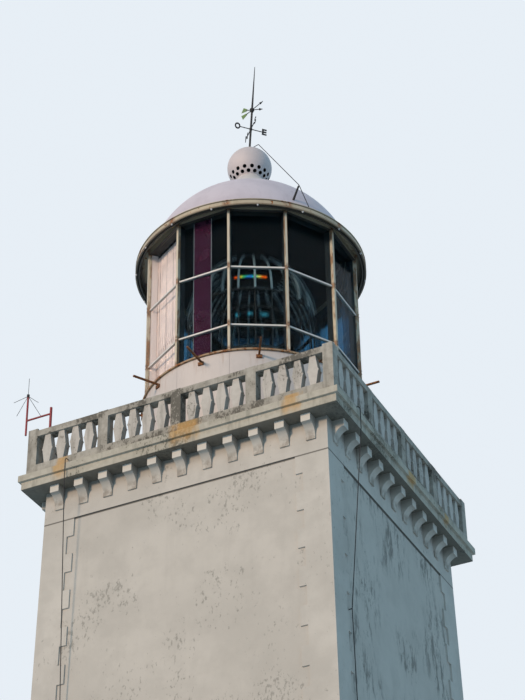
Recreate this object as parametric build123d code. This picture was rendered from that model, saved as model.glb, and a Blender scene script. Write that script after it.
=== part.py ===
# Square lighthouse tower with a corbelled gallery, a pierced concrete balustrade
# and a twelve-sided glazed lantern under a round dome.
# Millimetres, +Z up. The origin is on the ground, on the tower's centre line.
# The front faces -Y. Angles go round from the front: 90 degrees is the +X side.

import os
from math import asin, atan2, cos, degrees, radians, sin, sqrt, tan

from build123d import *

# Shaft
soffit_height = 17000.0
wall_half_at_soffit = 2475.0
wall_batter = 0.012
room_half = 1700.0
plinth_height = 450.0
plinth_projection = 70.0
ground_slab_thickness = 150.0

# Raised stucco on each face: corner quoins and the band under the gallery
stucco_relief = 25.0
frieze_drop = 585.0
quoin_course_height = 322.5
long_quoin = 560.0
short_quoin = 440.0

# Entrance
entrance_width = 1000.0
entrance_height = 2150.0
entrance_setback = 300.0
entrance_frame_width = 80.0
entrance_frame_depth = 120.0
entrance_leaf_thickness = 50.0
entrance_gap = 4.0
hinge_count = 3
hinge_height = 100.0
hinge_gap = 0.3
plank_count = 5
plank_groove = 8.0
ledge_height = 150.0
ledge_thickness = 25.0
ledge_inset = 60.0

# Gallery slabs and corbels
gallery_slab_half = 2843.0
soffit_slab_setback = 43.0
soffit_slab_thickness = 144.0
gallery_slab_thickness = 112.0
hatch_width = 600.0
hatch_inner_edge = 1105.0
hatch_outer_edge = 1690.0
corbels_per_side = 11
corbel_end_offset = 270.0
corbel_width = 158.0
corbel_projection = 200.0
corbel_block_height = 130.0
corbel_height = 370.0
corbel_step = 32.0
corbel_foot = 26.0

# Balustrade
balustrade_setback = 90.0
balustrade_thickness = 175.0
curb_height = 194.0
baluster_height = 550.0
rail_height = 110.0
corner_post_rise = 40.0
middle_post_rise = 8.0
middle_post_width = 180.0
middle_posts_per_side = 3
balusters_per_bay = 4
baluster_spacing = 262.0
baluster_depth = 120.0
baluster_end_half = 48.0
baluster_middle_half = 86.0
baluster_nub = 16.0
baluster_nub_half_height = 26.0

# Lantern drum, sill and brackets
lantern_sides = 12
drum_radius = 1900.0
drum_plate_thickness = 20.0
drum_joint = 4.0
drum_height = 2010.0
sill_height = 30.0
sill_outer_radius = 1936.0
sill_inner_radius = 1745.0
bracket_length = 490.0
bracket_width = 34.0
bracket_height = 26.0
bracket_drop = 100.0
lug_width = 100.0
lug_height = 60.0
lug_thickness = 25.0

# Gallery door in the drum, on the side away from the front
gallery_door_sill = 120.0
gallery_door_height = 1700.0
gallery_door_frame_width = 40.0
gallery_door_gap = 4.0

# Lantern frame and glass
mullion_circle = 1936.0
mullion_width = 42.0
mullion_depth = 180.0
glass_circle = 1880.0
glass_thickness = 10.0
bar_height = 30.0
bar_depth = 44.0
lower_bar_level = 537.0
upper_bar_level = 1760.0
glazing_height = 2991.0
head_height = 110.0
sector_glass_width = 330.0
sector_glass_offset = -50.0
sector_glass_setback = 40.0
sector_glass_thickness = 6.0

# Eave band and dome
eave_radius = 2099.0
eave_lap = 52.0
eave_fall = 55.0
eave_wall = 24.0
eave_lip_height = 10.0
eave_bead_height = 27.0
eave_bead_projection = 11.0
eave_ring_radius = 2035.0
eave_ring_wall = 14.0
eave_ring_lap = 10.0
eave_ring_bead = 8.0
eave_plate_thickness = 20.0
nozzle_count = 16
nozzle_first_angle = 7.5
nozzle_radius = 19.0
nozzle_tip_radius = 7.0
nozzle_height = 28.0
dome_radius = 1930.0
dome_centre_drop = 336.0
dome_shell = 12.0
dome_eye_radius = 240.0

# Vent collar and ball
collar_foot_radius = 720.0
collar_waist_radius = 380.0
collar_waist_drop = 513.0
collar_top_radius = 262.0
collar_shell = 8.0
vent_ball_radius = 421.0
vent_ball_shell = 8.0
vent_ball_rise = 2427.0
vent_hole_radius = 37.0
vent_holes_per_row = 16
vent_upper_row_angle = 31.5
vent_lower_row_angle = 43.5

# Leaning mast with the compass arms and the wind vane
mast_lean = 3.3
mast_lean_direction = 116.0
mast_length = 2215.0
mast_radius = 20.0
mast_tip_radius = 6.0
mast_flange_radius = 60.0
mast_flange_height = 16.0
compass_level = 583.0
compass_arm_length = 218.0
compass_arm_radius = 9.0
compass_hub_radius = 28.0
compass_hub_height = 46.0
compass_turn = 134.75
vane_level = 1080.0
vane_hub_radius = 46.0
vane_hub_half_height = 38.0
vane_bore_clearance = 1.0
vane_seat_gap = 0.3
vane_collar_radius = 30.0
vane_collar_height = 14.0
vane_turn = 80.5
vane_rod_tilt = 21.9
vane_rod_radius = 8.0
vane_tip_reach = 272.0
vane_tail_reach = 252.0
vane_barb_radius = 24.0
vane_barb_length = 50.0
vane_barb_setback = 22.0
vane_fin_length = 120.0
vane_fin_near_half = 25.0
vane_fin_far_half = 62.0
vane_fin_thickness = 5.0
vane_fin_lap = 18.0

# Optic inside the lantern
pedestal_radius = 780.0
pedestal_height = 2600.0
pedestal_wall = 12.0
optic_radius = 1130.0
optic_rib_count = 24
optic_rib_radius = 20.0
optic_bar_radius = 12.0
optic_base_ring_height = 70.0
optic_base_ring_width = 380.0
optic_foot_ring_level = 1814.0
optic_foot_ring_height = 40.0
optic_foot_ring_width = 46.0
optic_top_level = 2974.0
optic_top_radius = 600.0
optic_top_ring_height = 40.0
optic_top_ring_width = 60.0
belt_radius = 920.0
belt_thickness = 40.0
belt_height = 974.0
belt_facets = 9
belt_facet_depth = 22.0
belt_cap_height = 180.0
belt_cap_inner_radius = 700.0
belt_cap_thickness = 26.0
prism_count = 7
prism_first_turn = 3.0
prism_turn = 4.6
prism_step = 6.2
prism_depth = 62.0
optic_seat_gap = 0.3
lamp_stem_radius = 25.0
lamp_radius = 50.0
lamp_height = 300.0
lamp_level = 700.0
centre_rod_x = 63.0
centre_rod_y = 30.0
centre_rod_radius = 14.0
centre_rod_level = 2674.0

# Curtain behind one bay of the glazing
curtain_bay_angle = -30.0
curtain_half_width = 452.0
curtain_seat_gap = 0.3
curtain_thickness = 4.0
curtain_foot_gap = 5.0
curtain_head_gap = 60.0

# Aerial on the front left corner of the balustrade
aerial_post_setback = 353.0
aerial_post_radius = 22.0
aerial_post_height = 450.0
aerial_arm_level = 330.0
aerial_arm_length = 470.0
aerial_arm_radius = 16.0
aerial_pole_drop = 290.0
aerial_pole_rise = 465.0
aerial_pole_radius = 17.0
aerial_cap_radius = 24.0
aerial_cap_height = 55.0
aerial_whip_length = 330.0
aerial_whip_radius = 4.0
aerial_radial_length = 388.0
aerial_radial_slope = 42.7
aerial_radial_turn = 71.0

# Lightning conductor: one cable from the mast to the eave, two from the gallery down
conductor_radius = 7.0
conductor_bend = 60.0
conductor_gap = 0.3
conductor_rise_on_curb = 100.0
conductor_drop_below_slab = 40.0
conductor_wall_gap = 23.0
front_cable_x = -1954.0
front_cable_landing = 5000.0
right_cable_y = -2000.0
right_cable_landing = 3100.0
standoff_radius = 8.0
standoff_spacing = 4200.0
dome_standoff_foot = (1425.0, -1152.0, 22667.0)
dome_standoff_tip = (1592.0, -1260.0, 22866.0)
mast_clamp_level = 70.0
ball_pass = (310.0, -235.0, 25130.0)
eave_landing_angle = 59.4
eave_landing_radius = 1965.0

lantern_step = 360.0 / lantern_sides
first_mullion = lantern_step / 2
soffit = soffit_height
soffit_slab_half = gallery_slab_half - soffit_slab_setback
balustrade_half = gallery_slab_half - balustrade_setback
deck = soffit + soffit_slab_thickness + gallery_slab_thickness
curb_top = deck + curb_height
rail_bottom = curb_top + baluster_height
rail_top = rail_bottom + rail_height
sill_bottom = deck + drum_height
sill_top = sill_bottom + sill_height
glazing_top = sill_top + glazing_height
eave_bottom = glazing_top - eave_lap
dome_centre = glazing_top + head_height - dome_centre_drop
ball_centre = glazing_top + head_height + vent_ball_rise
ball_top = ball_centre + vent_ball_radius

os.makedirs("parts", exist_ok=True)


def save(name, solids):
    """Write one node, from a solid or a list of solids that don't touch."""
    shape = Compound(solids) if isinstance(solids, list) else solids
    export_step(shape, "parts/" + name + ".step")


def block(x0, x1, y0, y1, z0, z1):
    centre = ((x0 + x1) / 2, (y0 + y1) / 2, (z0 + z1) / 2)
    return Pos(*centre) * Box(x1 - x0, y1 - y0, z1 - z0)


def wall_half(z):
    """Half-width of the battered wall face at a height."""
    return wall_half_at_soffit + wall_batter * (soffit - z)


def stucco_half(z):
    return wall_half(z) + stucco_relief


def frustum(half_low, half_high, z_low, z_high):
    """A square block whose faces lean in."""
    low = Plane.XY.offset(z_low) * Rectangle(2 * half_low, 2 * half_low)
    high = Plane.XY.offset(z_high) * Rectangle(2 * half_high, 2 * half_high)
    return loft([low, high], ruled=True)


def front_quarter(reach, z_low, z_high):
    """The space in front of the two diagonals, as a prism."""
    plan = make_face(Polyline((0, 0), (-reach, -reach), (reach, -reach), close=True))
    return extrude(Plane.XY.offset(z_low) * plan, z_high - z_low)


def turned(shape, angle):
    """A shape at the front, carried round the tower."""
    return Rot(0, 0, angle) * shape


def all_round(shape, count, first=0.0):
    return [turned(shape, first + 360.0 * i / count) for i in range(count)]


def tube(outer, inner, z_low, z_high):
    ring = Circle(outer) - Circle(inner)
    return extrude(Plane.XY.offset(z_low) * ring, z_high - z_low)


def round_bar(start, end, radius):
    """A straight round bar between two points."""
    start = Vector(*start)
    end = Vector(*end)
    along = end - start
    section = Plane(origin=start, z_dir=along) * Circle(radius)
    return extrude(section, along.length)


def arc_plate(outer, thickness, half_angle, z_low, z_high):
    """A curved plate at the front, on the tower's axis."""
    section = Plane.XZ * Pos(outer - thickness / 2, (z_low + z_high) / 2) * Rectangle(
        thickness, z_high - z_low
    )
    sweep_angle = 2 * half_angle
    return Rot(0, 0, -90 - half_angle) * revolve(section, Axis.Z, sweep_angle)


# Walls

def wall_side():
    """One mitred side of the shaft, hollow room to stucco bed, at the front."""
    shaft = frustum(wall_half(0), wall_half(soffit), 0, soffit)
    room = block(-room_half, room_half, -room_half, room_half, 0, soffit)
    return shaft - room & front_quarter(2 * wall_half(0), 0, soffit)


entrance_top = ground_slab_thickness + entrance_height
entrance_half = entrance_width / 2


def walls():
    side = wall_side()
    reach = 2 * wall_half(0)
    left = side & block(-reach, -entrance_half, -reach, 0, 0, soffit)
    right = side & block(entrance_half, reach, -reach, 0, 0, soffit)
    over = side & block(-entrance_half, entrance_half, -reach, 0, entrance_top, soffit)
    save("front_wall_left", left)
    save("front_wall_right", right)
    save("front_wall_over_door", over)
    save("right_wall", turned(side, 90))
    save("back_wall", turned(side, 180))
    save("left_wall", turned(side, 270))


def plinth():
    foot_half = wall_half(0) + plinth_projection
    outer = block(-foot_half, foot_half, -foot_half, foot_half, 0, plinth_height)
    inner = frustum(wall_half(0), wall_half(plinth_height), 0, plinth_height)
    doorway = block(-entrance_half, entrance_half, -foot_half, 0, 0, plinth_height)
    save("plinth", outer - inner - doorway)


def ground_floor():
    save(
        "ground_floor",
        block(-room_half, room_half, -room_half, room_half, 0, ground_slab_thickness),
    )


def recessed_field():
    """Outline of the sunk field of one face: toothed beside the quoins."""
    top = soffit - frieze_drop
    points = []
    level = top
    long_course = True
    while level > plinth_height:
        below = max(level - quoin_course_height, plinth_height)
        reach = long_quoin if long_course else short_quoin
        points.append((stucco_half(level) - reach, level))
        points.append((stucco_half(below) - reach, below))
        level = below
        long_course = not long_course
    mirrored = [(-x, z) for x, z in reversed(points)]
    return make_face(Plane.XZ * Polyline(*points, *mirrored, close=True))


def stucco():
    """Quoins and band of each face, one raised skin a side, mitred at the corners."""
    outer = frustum(stucco_half(plinth_height), stucco_half(soffit), plinth_height, soffit)
    inner = frustum(wall_half(plinth_height), wall_half(soffit), plinth_height, soffit)
    reach = 2 * stucco_half(0)
    field = extrude(recessed_field(), reach, dir=(0, -1, 0))
    side = (outer - inner & front_quarter(reach, plinth_height, soffit)) - field
    save("front_quoins", side)
    save("right_quoins", turned(side, 90))
    save("back_quoins", turned(side, 180))
    save("left_quoins", turned(side, 270))
    return side


# Entrance

def hinge_levels(low, high):
    """Lower ends of the hinge leaves on a door's edge."""
    step = (high - low) / hinge_count
    return [low + (i + 0.5) * step - hinge_height / 2 for i in range(hinge_count)]


def entrance():
    outside = -wall_half(0)
    sill = block(
        -entrance_half, entrance_half, outside, -room_half, 0, ground_slab_thickness
    )
    save("entrance_sill", sill)

    face = -wall_half(entrance_top) + entrance_setback
    back = face + entrance_frame_depth
    clear_half = entrance_half - entrance_frame_width
    clear_top = entrance_top - entrance_frame_width
    surround = block(
        -entrance_half, entrance_half, face, back, ground_slab_thickness, entrance_top
    )
    clear = block(-clear_half, clear_half, face, back, ground_slab_thickness, clear_top)
    save("entrance_frame", surround - clear)

    leaf_half = clear_half - entrance_gap
    leaf_low = ground_slab_thickness + entrance_gap
    leaf_high = clear_top - entrance_gap
    leaf_face = face + (entrance_frame_depth - entrance_leaf_thickness) / 2
    leaf_back = leaf_face + entrance_leaf_thickness
    leaf = block(-leaf_half, leaf_half, leaf_face, leaf_back, leaf_low, leaf_high)
    plank = 2 * leaf_half / plank_count
    for i in range(1, plank_count):
        x = -leaf_half + i * plank
        groove = block(
            x - plank_groove / 2,
            x + plank_groove / 2,
            leaf_face,
            leaf_face + plank_groove,
            leaf_low,
            leaf_high,
        )
        leaf -= groove
    for level in (leaf_low + ledge_height, leaf_high - 2 * ledge_height):
        leaf += block(
            -leaf_half + ledge_inset,
            leaf_half - ledge_inset,
            leaf_back,
            leaf_back + ledge_thickness,
            level,
            level + ledge_height,
        )
    edge = leaf_half + entrance_gap - hinge_gap
    for level in hinge_levels(leaf_low, leaf_high):
        leaf += block(-edge, -leaf_half, leaf_face, leaf_back, level, level + hinge_height)
    save("entrance_door", leaf)


# Gallery

def corbel():
    """One corbel at the middle of the front: a block over a hollow quarter curve."""
    bed_top = stucco_half(soffit)
    bed_low = stucco_half(soffit - corbel_height)
    nose = bed_top + corbel_projection
    curve_start = nose - corbel_step
    curve_end = bed_low + corbel_foot
    block_low = soffit - corbel_block_height
    foot = soffit - corbel_height
    outline = Polyline(
        (curve_end, foot),
        (bed_low, foot),
        (bed_top, soffit),
        (nose, soffit),
        (nose, block_low),
        (curve_start, block_low),
    )
    run = curve_start - curve_end
    drop = block_low - foot
    middle = (curve_end + run * (1 - sin(radians(45))), block_low - drop * (1 - cos(radians(45))))
    hollow = ThreePointArc((curve_start, block_low), middle, (curve_end, foot))
    side_view = make_face(outline + hollow)
    section = Plane(origin=(-corbel_width / 2, 0, 0), x_dir=(0, -1, 0), z_dir=(-1, 0, 0))
    return extrude(section * side_view, -corbel_width)


def corbels():
    one = corbel()
    span = 2 * (stucco_half(soffit) - corbel_end_offset)
    step = span / (corbels_per_side - 1)
    row = [Pos(-span / 2 + i * step, 0, 0) * one for i in range(corbels_per_side)]
    save("corbels", [turned(c, 90 * side) for side in range(4) for c in row])


def gallery_slabs():
    hatch_half = hatch_width / 2
    hatch = block(hatch_inner_edge, hatch_outer_edge, -hatch_half, hatch_half, soffit, deck)
    low = soffit + soffit_slab_thickness
    half = soffit_slab_half
    save("gallery_soffit_slab", block(-half, half, -half, half, soffit, low) - hatch)
    half = gallery_slab_half
    save("gallery_floor_slab", block(-half, half, -half, half, low, deck) - hatch)


# Balustrade

inner_half = balustrade_half - balustrade_thickness
posts_width = 2 * balustrade_thickness + middle_posts_per_side * middle_post_width
bay_count = middle_posts_per_side + 1
bay_width = (2 * balustrade_half - posts_width) / bay_count


def bay_starts():
    """Left edge of each bay along the front, between its posts."""
    first = -balustrade_half + balustrade_thickness
    return [first + i * (bay_width + middle_post_width) for i in range(bay_count)]


def baluster():
    """A flat baluster on the curb: waisted at both ends, with a nub each side."""
    half = baluster_height / 2
    nub = baluster_nub_half_height
    right = [
        (baluster_end_half, -half),
        (baluster_middle_half, -nub),
        (baluster_middle_half + baluster_nub, 0),
        (baluster_middle_half, nub),
        (baluster_end_half, half),
    ]
    left = [(-x, z) for x, z in reversed(right)]
    outline = make_face(Plane.XZ * Polyline(*right, *left, close=True))
    return Pos(0, 0, curb_top + half) * extrude(outline, baluster_depth / 2, both=True)


def balustrade():
    outer = block(
        -balustrade_half, balustrade_half, -balustrade_half, balustrade_half, deck, curb_top
    )
    inner = block(-inner_half, inner_half, -inner_half, inner_half, deck, curb_top)
    save("balustrade_curb", outer - inner)

    front = -balustrade_half
    back = -inner_half
    middle_top = rail_top + middle_post_rise
    corner_top = rail_top + corner_post_rise
    rails = []
    posts = []
    balusters = []
    middle_y = (front + back) / 2
    upright = baluster()
    for start in bay_starts():
        end = start + bay_width
        rails.append(block(start, end, front, back, rail_bottom, rail_top))
        centre = (start + end) / 2
        for i in range(balusters_per_bay):
            x = centre + (i - (balusters_per_bay - 1) / 2) * baluster_spacing
            balusters.append(Pos(x, middle_y, 0) * upright)
    for start in bay_starts()[1:]:
        left = start - middle_post_width
        posts.append(block(left, start, front, back, curb_top, middle_top))
    posts.append(block(-balustrade_half, -inner_half, front, back, curb_top, corner_top))
    save("balustrade_rails", [turned(r, 90 * side) for side in range(4) for r in rails])
    save("balustrade_posts", [turned(p, 90 * side) for side in range(4) for p in posts])
    save("balusters", [turned(b, 90 * side) for side in range(4) for b in balusters])


# Lantern drum

gallery_door_top = deck + gallery_door_sill + gallery_door_height


def drum():
    """Twelve curved plates; the one at the back starts over the gallery door."""
    joint_angle = degrees(asin(drum_joint / 2 / drum_radius))
    half_angle = lantern_step / 2 - joint_angle
    plate = arc_plate(drum_radius, drum_plate_thickness, half_angle, deck, sill_bottom)
    plates = []
    for i in range(lantern_sides):
        angle = i * lantern_step
        if abs(angle - 180) < 1:
            over = arc_plate(
                drum_radius, drum_plate_thickness, half_angle, gallery_door_top, sill_bottom
            )
            plates.append(turned(over, angle))
        else:
            plates.append(turned(plate, angle))
    save("drum_plates", plates)

    frame_angle = degrees(gallery_door_frame_width / drum_radius)
    door_half = half_angle - frame_angle
    head_bottom = gallery_door_top - gallery_door_frame_width
    door_bottom = deck + gallery_door_sill
    whole = arc_plate(drum_radius, drum_plate_thickness, half_angle, deck, gallery_door_top)
    clear = arc_plate(
        drum_radius + 1, drum_plate_thickness + 2, door_half, door_bottom, head_bottom
    )
    save("gallery_door_frame", turned(whole - clear, 180))
    inside = drum_radius - drum_plate_thickness
    leaf_half = door_half - degrees(gallery_door_gap / inside)
    leaf_low = door_bottom + gallery_door_gap
    leaf_high = head_bottom - gallery_door_gap
    leaf = arc_plate(drum_radius, drum_plate_thickness, leaf_half, leaf_low, leaf_high)
    hinge_half = (gallery_door_gap - hinge_gap) / 2
    hinge_turn = leaf_half + degrees(hinge_half / inside)
    for level in hinge_levels(leaf_low, leaf_high):
        hinge = arc_plate(
            drum_radius, drum_plate_thickness, degrees(hinge_half / inside), level, level + hinge_height
        )
        leaf += turned(hinge, hinge_turn)
    save("gallery_door", turned(leaf, 180))


def sill():
    save("lantern_sill", tube(sill_outer_radius, sill_inner_radius, sill_bottom, sill_top))

    top = sill_bottom - bracket_drop + bracket_height
    low = top - bracket_height
    wall = drum_radius
    bar = block(
        -bracket_width / 2, bracket_width / 2, -wall - bracket_length, -wall, low, top
    )
    lug = block(-lug_width / 2, lug_width / 2, -wall - lug_thickness, -wall + 5, low - lug_height, low)
    drum_body = Cylinder(wall, 2 * sill_top)
    bracket = bar + lug - drum_body
    save("sill_brackets", all_round(bracket, lantern_sides))


# Lantern frame and glass

def bay_panel(thickness, z_low, z_high, centre_circle):
    """A flat strip across the front bay, cut to the faces of its two mullions."""
    middle = centre_circle * cos(radians(lantern_step / 2))
    slope = tan(radians(lantern_step / 2))
    edge = mullion_width / 2 / cos(radians(lantern_step / 2))
    outer = middle + thickness / 2
    inner = middle - thickness / 2
    outer_half = outer * slope - edge
    inner_half_width = inner * slope - edge
    plan = Polyline(
        (-outer_half, -outer),
        (outer_half, -outer),
        (inner_half_width, -inner),
        (-inner_half_width, -inner),
        close=True,
    )
    return extrude(Plane.XY.offset(z_low) * make_face(plan), z_high - z_low)


def lantern():
    mullion = block(
        -mullion_width / 2,
        mullion_width / 2,
        -mullion_circle,
        -mullion_circle + mullion_depth,
        sill_top,
        glazing_top,
    )
    save("lantern_mullions", all_round(mullion, lantern_sides, first_mullion))

    half_bar = bar_height / 2
    levels = [sill_top + lower_bar_level, sill_top + upper_bar_level]
    bars = []
    for level in levels:
        bar = bay_panel(bar_depth, level - half_bar, level + half_bar, glass_circle)
        bars += all_round(bar, lantern_sides)
    save("glazing_bars", bars)

    panes = []
    starts = [sill_top] + [level + half_bar for level in levels]
    ends = [level - half_bar for level in levels] + [glazing_top]
    for low, high in zip(starts, ends):
        panes += all_round(bay_panel(glass_thickness, low, high, glass_circle), lantern_sides)
    save("lantern_glass", panes)

    middle = glass_circle * cos(radians(lantern_step / 2))
    back = -middle + sector_glass_setback
    left = sector_glass_offset - sector_glass_width / 2
    right = sector_glass_offset + sector_glass_width / 2
    sheet = block(left, right, back, back + sector_glass_thickness, sill_top, glazing_top)
    save("sector_glass", sheet)

    outer = RegularPolygon(mullion_circle, lantern_sides, rotation=first_mullion)
    inner = RegularPolygon(mullion_circle - mullion_depth, lantern_sides, rotation=first_mullion)
    ring = extrude(Plane.XY.offset(glazing_top) * (outer - inner), head_height)
    save("lantern_head", ring)


# Eave, dome and vent

def eave():
    """Sloping roof edge with a lip, a beaded fascia and a second ring inside it."""
    ceiling = glazing_top + head_height
    plate_top = ceiling + eave_plate_thickness
    inner = mullion_circle - mullion_depth
    slope_start = mullion_circle
    slope = eave_fall / (eave_radius - slope_start)

    def roof(radius):
        return plate_top - slope * (radius - slope_start)

    def underside(radius):
        return roof(radius) - eave_plate_thickness

    fascia = eave_radius - eave_bead_projection
    channel = eave_radius - eave_wall - eave_bead_projection
    bead_top = eave_bottom + eave_bead_height
    lip_low = roof(eave_radius) - eave_lip_height
    ring_in = eave_ring_radius - eave_ring_wall
    ring_bead = eave_ring_radius + eave_ring_bead
    ring_low = eave_bottom - eave_ring_lap
    ring_bead_top = ring_low + eave_bead_height
    points = [
        (inner, ceiling),
        (slope_start, ceiling),
        (ring_in, underside(ring_in)),
        (ring_in, ring_low),
        (ring_bead, ring_low),
        (ring_bead, ring_bead_top),
        (eave_ring_radius, ring_bead_top),
        (eave_ring_radius, underside(eave_ring_radius)),
        (channel, underside(channel)),
        (channel, eave_bottom),
        (eave_radius, eave_bottom),
        (eave_radius, bead_top),
        (fascia, bead_top),
        (fascia, lip_low),
        (eave_radius, lip_low),
        (eave_radius, roof(eave_radius)),
        (slope_start, plate_top),
        (inner, plate_top),
    ]
    section = make_face(Plane.XZ * Polyline(*points, close=True))
    band = revolve(section, Axis.Z)
    save("eave_band", band)

    cone = Cone(nozzle_tip_radius, nozzle_radius, nozzle_height)
    middle = (channel + eave_radius) / 2
    nozzle = Pos(0, -middle, eave_bottom - nozzle_height / 2) * cone
    save("drip_nozzles", all_round(nozzle, nozzle_count, nozzle_first_angle))
    return plate_top, band


def dome(base):
    """A thin round shell with an eye at the top for the vent."""
    rise = base - dome_centre
    inner_radius = dome_radius - dome_shell
    foot_out = sqrt(dome_radius**2 - rise**2)
    foot_in = sqrt(inner_radius**2 - rise**2)
    eye_out = sqrt(dome_radius**2 - dome_eye_radius**2)
    eye_in = sqrt(inner_radius**2 - dome_eye_radius**2)
    start_angle = atan2(rise, foot_out)
    end_angle = atan2(eye_out, dome_eye_radius)
    middle = (start_angle + end_angle) / 2
    outer_middle = (dome_radius * cos(middle), dome_centre + dome_radius * sin(middle))
    inner_middle = (inner_radius * cos(middle), dome_centre + inner_radius * sin(middle))
    outline = (
        ThreePointArc((foot_out, base), outer_middle, (dome_eye_radius, dome_centre + eye_out))
        + Line(
            (dome_eye_radius, dome_centre + eye_out), (dome_eye_radius, dome_centre + eye_in)
        )
        + ThreePointArc((dome_eye_radius, dome_centre + eye_in), inner_middle, (foot_in, base))
        + Line((foot_in, base), (foot_out, base))
    )
    save("dome", revolve(make_face(Plane.XZ * outline), Axis.Z))


def ball_level(radius):
    """Height on the lower half of the vent ball at a radius from its axis."""
    return ball_centre - sqrt(vent_ball_radius**2 - radius**2)


def dome_level(radius):
    """Height of the dome's outer face at a radius from its axis."""
    return dome_centre + sqrt(dome_radius**2 - radius**2)


def vent():
    """A flared collar on the dome, and the ball with its two rows of holes."""
    bore = collar_top_radius - collar_shell
    half_way = (bore + collar_foot_radius) / 2
    rim = (bore + collar_top_radius) / 2
    foot = (collar_foot_radius, dome_level(collar_foot_radius))
    top = (collar_top_radius, ball_level(collar_top_radius))
    waist = (collar_waist_radius, ball_centre - collar_waist_drop)
    dome_slope = collar_foot_radius / (foot[1] - dome_centre)
    flare = Spline(foot, waist, top, tangents=[(-1.0, dome_slope), (-0.4, 1.0)])
    seat = ThreePointArc(top, (rim, ball_level(rim)), (bore, ball_level(bore)))
    wall = Line((bore, ball_level(bore)), (bore, dome_level(bore)))
    bed = ThreePointArc((bore, dome_level(bore)), (half_way, dome_level(half_way)), foot)
    filled = make_face(flare + seat + wall + bed)
    section = filled - Pos(-collar_shell, -collar_shell) * filled
    save("vent_collar", revolve(Plane.XZ * section, Axis.Z))

    centre = Pos(0, 0, ball_centre)
    ball = centre * Sphere(vent_ball_radius) - centre * Sphere(vent_ball_radius - vent_ball_shell)
    mouth = Cylinder(dome_eye_radius, 2 * vent_ball_radius)
    ball -= Pos(0, 0, ball_centre - vent_ball_radius) * mouth
    step = 360.0 / vent_holes_per_row
    drill = Pos(0, 0, vent_ball_radius) * Cylinder(vent_hole_radius, 4 * vent_ball_shell)
    upper = centre * Rot(90 + vent_upper_row_angle, 0, 0) * drill
    lower = centre * Rot(90 + vent_lower_row_angle, 0, 0) * drill
    holes = all_round(upper, vent_holes_per_row, step / 2)
    holes += all_round(lower, vent_holes_per_row)
    save("vent_ball", ball - holes)


# Mast, compass arms and wind vane

def mast_frame():
    """Plane at the mast's foot; its normal is the leaning mast."""
    lean = radians(mast_lean)
    way = radians(mast_lean_direction)
    along = Vector(sin(lean) * sin(way), -sin(lean) * cos(way), cos(lean))
    side = Vector(0, -1, 0)
    return Plane(origin=(0, 0, ball_top), x_dir=side - along * side.dot(along), z_dir=along)


def mast():
    at_foot = mast_frame()
    sunk = vent_ball_radius - sqrt(vent_ball_radius**2 - mast_flange_radius**2)
    flange = Pos(0, 0, (mast_flange_height - sunk) / 2) * Cylinder(
        mast_flange_radius, mast_flange_height + sunk
    )
    shaft_top = vane_level + vane_hub_half_height + vane_collar_height
    shaft = Pos(0, 0, shaft_top / 2) * Cylinder(mast_radius, shaft_top)
    spike_height = mast_length - shaft_top
    spike = Pos(0, 0, shaft_top + spike_height / 2) * Cone(
        mast_radius, mast_tip_radius, spike_height
    )
    rest = vane_level - vane_hub_half_height - vane_seat_gap
    collar = Pos(0, 0, rest - vane_collar_height / 2) * Cylinder(
        vane_collar_radius, vane_collar_height
    )
    body = at_foot * (flange + shaft + spike + collar)
    save("mast", body - Pos(0, 0, ball_centre) * Sphere(vent_ball_radius))

    arms = Cylinder(compass_hub_radius, compass_hub_height)
    root = (mast_radius + compass_hub_radius) / 2
    for i in range(4):
        arm = round_bar((root, 0, 0), (compass_arm_length, 0, 0), compass_arm_radius)
        arms += Rot(0, 0, compass_turn + 90 * i) * arm
    arms -= Cylinder(mast_radius, compass_hub_height)
    save("compass_arms", at_foot * Pos(0, 0, compass_level) * arms)


def arrow():
    """Rod of one arrow along local X, with a barbed head."""
    reach = vane_tip_reach + vane_tail_reach - vane_fin_length + vane_fin_lap
    rod = Pos(vane_tip_reach - reach / 2, 0, 0) * Rot(0, 90, 0) * Cylinder(vane_rod_radius, reach)
    barb_middle = vane_tip_reach - vane_barb_setback - vane_barb_length / 2
    barb = Pos(barb_middle, 0, 0) * Rot(0, 90, 0) * Cone(
        vane_barb_radius, vane_rod_radius, vane_barb_length
    )
    return rod + barb


def fin():
    """Flared tail fin of one arrow, upright in the plane of the rods."""
    near = vane_fin_length - vane_tail_reach
    outline = Polyline(
        (near, -vane_fin_near_half),
        (near, vane_fin_near_half),
        (-vane_tail_reach, vane_fin_far_half),
        (-vane_tail_reach, -vane_fin_far_half),
        close=True,
    )
    plate = extrude(make_face(Plane.XZ * outline), vane_fin_thickness / 2, both=True)
    return plate - arrow()


def vane():
    """Hub, and two arrows that cross in one upright plane."""
    at_vane = mast_frame() * Pos(0, 0, vane_level) * Rot(0, 0, vane_turn)
    bore = mast_radius + vane_bore_clearance
    hub = Sphere(vane_hub_radius) & Cylinder(vane_hub_radius, 2 * vane_hub_half_height)
    hub -= Cylinder(bore, 4 * vane_hub_radius)
    save("vane_hub", at_vane * hub)
    rods = []
    fins = []
    for tilt in (vane_rod_tilt, -vane_rod_tilt):
        lying = Rot(0, -tilt, 0)
        rods += (lying * arrow() - Sphere(vane_hub_radius)).solids()
        fins.append(lying * fin())
    save("vane_arrows", [at_vane * rod for rod in rods])
    save("vane_fins", [at_vane * one for one in fins])


# Lightning conductor

def cable(points):
    """A round cable through the points: straight runs with rounded bends."""
    path = FilletPolyline(*points, radius=conductor_bend)
    section = Plane(origin=path @ 0, z_dir=path % 0) * Circle(conductor_radius)
    return sweep(section, path=path)


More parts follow.
